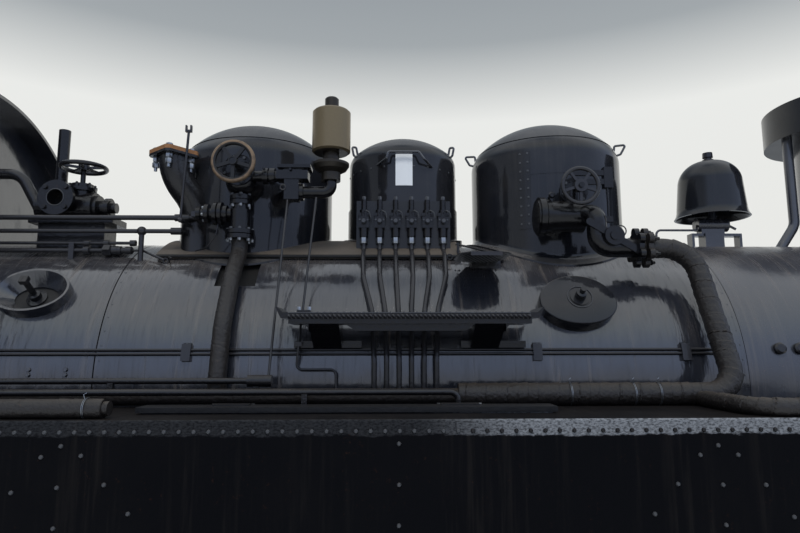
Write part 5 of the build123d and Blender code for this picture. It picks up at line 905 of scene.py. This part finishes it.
def clamp_and_knob():
    """The clamp on the drain pipe with its bolts, the feed valve's knob on its stem, the eyelet and the
    hook on the cover's edge, and the conduit by the foot plate with its post."""
    clamp = block((-3.462, -0.966, 1.748), (-3.400, -0.930, 1.766))
    knob = repeated(lathe(((0.016, 0), (0.019, 0.010), (0.012, 0.022)), 12), (-2.166, -0.655, 2.395), RIGHT)
    stem = repeated(stud(0.007, 0.05), (-2.166, -0.605, 2.395), RIGHT)
    eyelet = hoop(on_clad(-2.702, 52.0, 0.045), RIGHT, 0.014, 18, 0.0035, 6)
    hook = tube(arcs((on_clad(-4.233, 53.0), on_clad(-4.233, 53.0, 0.034), on_clad(-4.205, 51.0, 0.040)),
                     (0.01,), 0.004), 0.004, 8)
    conduit = tube(arcs(((-2.66, -0.455, 2.165), (-2.60, -0.470, 2.150), (-2.48, -0.500, 2.115),
                         (-2.37, -0.520, 2.105)), (0.03, 0.04)), 0.006, 8)
    post = repeated(stud(0.007, 0.062), (-2.648, -0.470, 2.110), UP)
    bolts = repeated(hexagon(0.010, 0.016), ((-3.455, -0.950, 1.766), (-3.407, -0.950, 1.766)), UP)
    piece("clamp_and_knob", [clamp, knob, stem, eyelet, hook, conduit, post], slot="fitting_paint")
    piece("clamp_bolts", [bolts], ZINC, slot="worn_steel")


# Stage
def build_stage():
    """A pale floor below the tanks and the saddle."""
    corners = [(FLOOR_MIDDLE_X + x * FLOOR_HALF, y * FLOOR_HALF, 0)
               for x, y in ((-1, -1), (1, -1), (1, 1), (-1, 1))]
    mesh = bpy.data.meshes.new("floor")
    mesh.from_pydata(corners, [], [(0, 1, 2, 3)])
    pale = bpy.data.materials.new("Pale Floor")
    pale.use_nodes = True
    shader = pale.node_tree.nodes["Principled BSDF"]
    shader.inputs["Base Color"].default_value = (0.62, 0.62, 0.61, 1)
    shader.inputs["Roughness"].default_value = 0.8
    mesh.materials.append(pale)
    floor = put("floor", mesh)


def sky_ramp(tree, height, stops):
    """A colour for each height of the sky, from its lowest stop to its highest."""
    ramp = add(tree, "ValToRGB", inputs={0: height})
    elements = ramp.color_ramp.elements
    elements[0].position, elements[0].color = stops[0][0], (*stops[0][1], 1)
    elements[1].position, elements[1].color = stops[-1][0], (*stops[-1][1], 1)
    for position, color in stops[1:-1]:
        elements.new(position).color = (*color, 1)
    return ramp.outputs[0]


def build_world():
    """A pale sky with a darker bank of cloud above it. Before the boiler's right side it is bluer, with an
    open patch of blue towards the front."""
    world = bpy.data.worlds.new("Pale Sky")
    bpy.context.scene.world = world
    world.use_nodes = True
    tree = world.node_tree
    axes = add(tree, "SeparateXYZ", inputs={0: add(tree, "TexCoord").outputs["Generated"]})
    across, along, up = (axes.outputs[name] for name in "XYZ")
    before = blend(tree, spread(tree, across, -0.78, -0.48), sky_ramp(tree, up, SKY_BEFORE),
                   sky_ramp(tree, up, SKY_PATCH))
    sky = blend(tree, spread(tree, along, 0.62, 0.10), sky_ramp(tree, up, SKY_BEHIND), before)
    background = tree.nodes["Background"]
    tree.links.new(sky, background.inputs[0])
    background.inputs[1].default_value = 1.0


def build_lamp():
    """A soft square lamp over the right side; its energy is radiance times pi times area."""
    light = bpy.data.lights.new("softbox", "AREA")
    light.size = LAMP_SIDE
    light.energy = LAMP_RADIANCE * pi * LAMP_SIDE ** 2
    thing = put("softbox", light)
    thing.location = LAMP_AT
    thing.rotation_euler = (Vector(LAMP_AIM) - Vector(LAMP_AT)).to_track_quat("-Z", "Y").to_euler()
    thing.visible_camera = False
    thing.visible_glossy = False


def build_camera():
    """The photograph's camera: turned to its pitch, yaw and roll."""
    camera = bpy.data.cameras.new("camera")
    camera.sensor_width = 36.0
    camera.lens = CAMERA_LENS
    camera.clip_end = 300.0
    thing = put("camera", camera)
    yaw = Matrix.Rotation(radians(-CAMERA_YAW), 4, "Z")
    pitch = Matrix.Rotation(radians(90 + CAMERA_PITCH), 4, "X")
    roll = Matrix.Rotation(radians(CAMERA_ROLL), 4, "Z")
    thing.matrix_world = Matrix.Translation(CAMERA_AT) @ yaw @ pitch @ roll
    bpy.context.scene.camera = thing


paint_nodes()
tank_rivets()
cladding_screws()
cover_sheet()
foot_plate()
lagging()
sand_valve_details()
vent_bolts()
feed_dome_strips()
sand_dome_rivets()
flange_bolts()
washout_ring()
step_teeth()
thin_pipe_ends()
clamp_and_knob()
build_stage()
build_world()
build_lamp()
build_camera()
bpy.context.scene.view_settings.view_transform = "Standard"
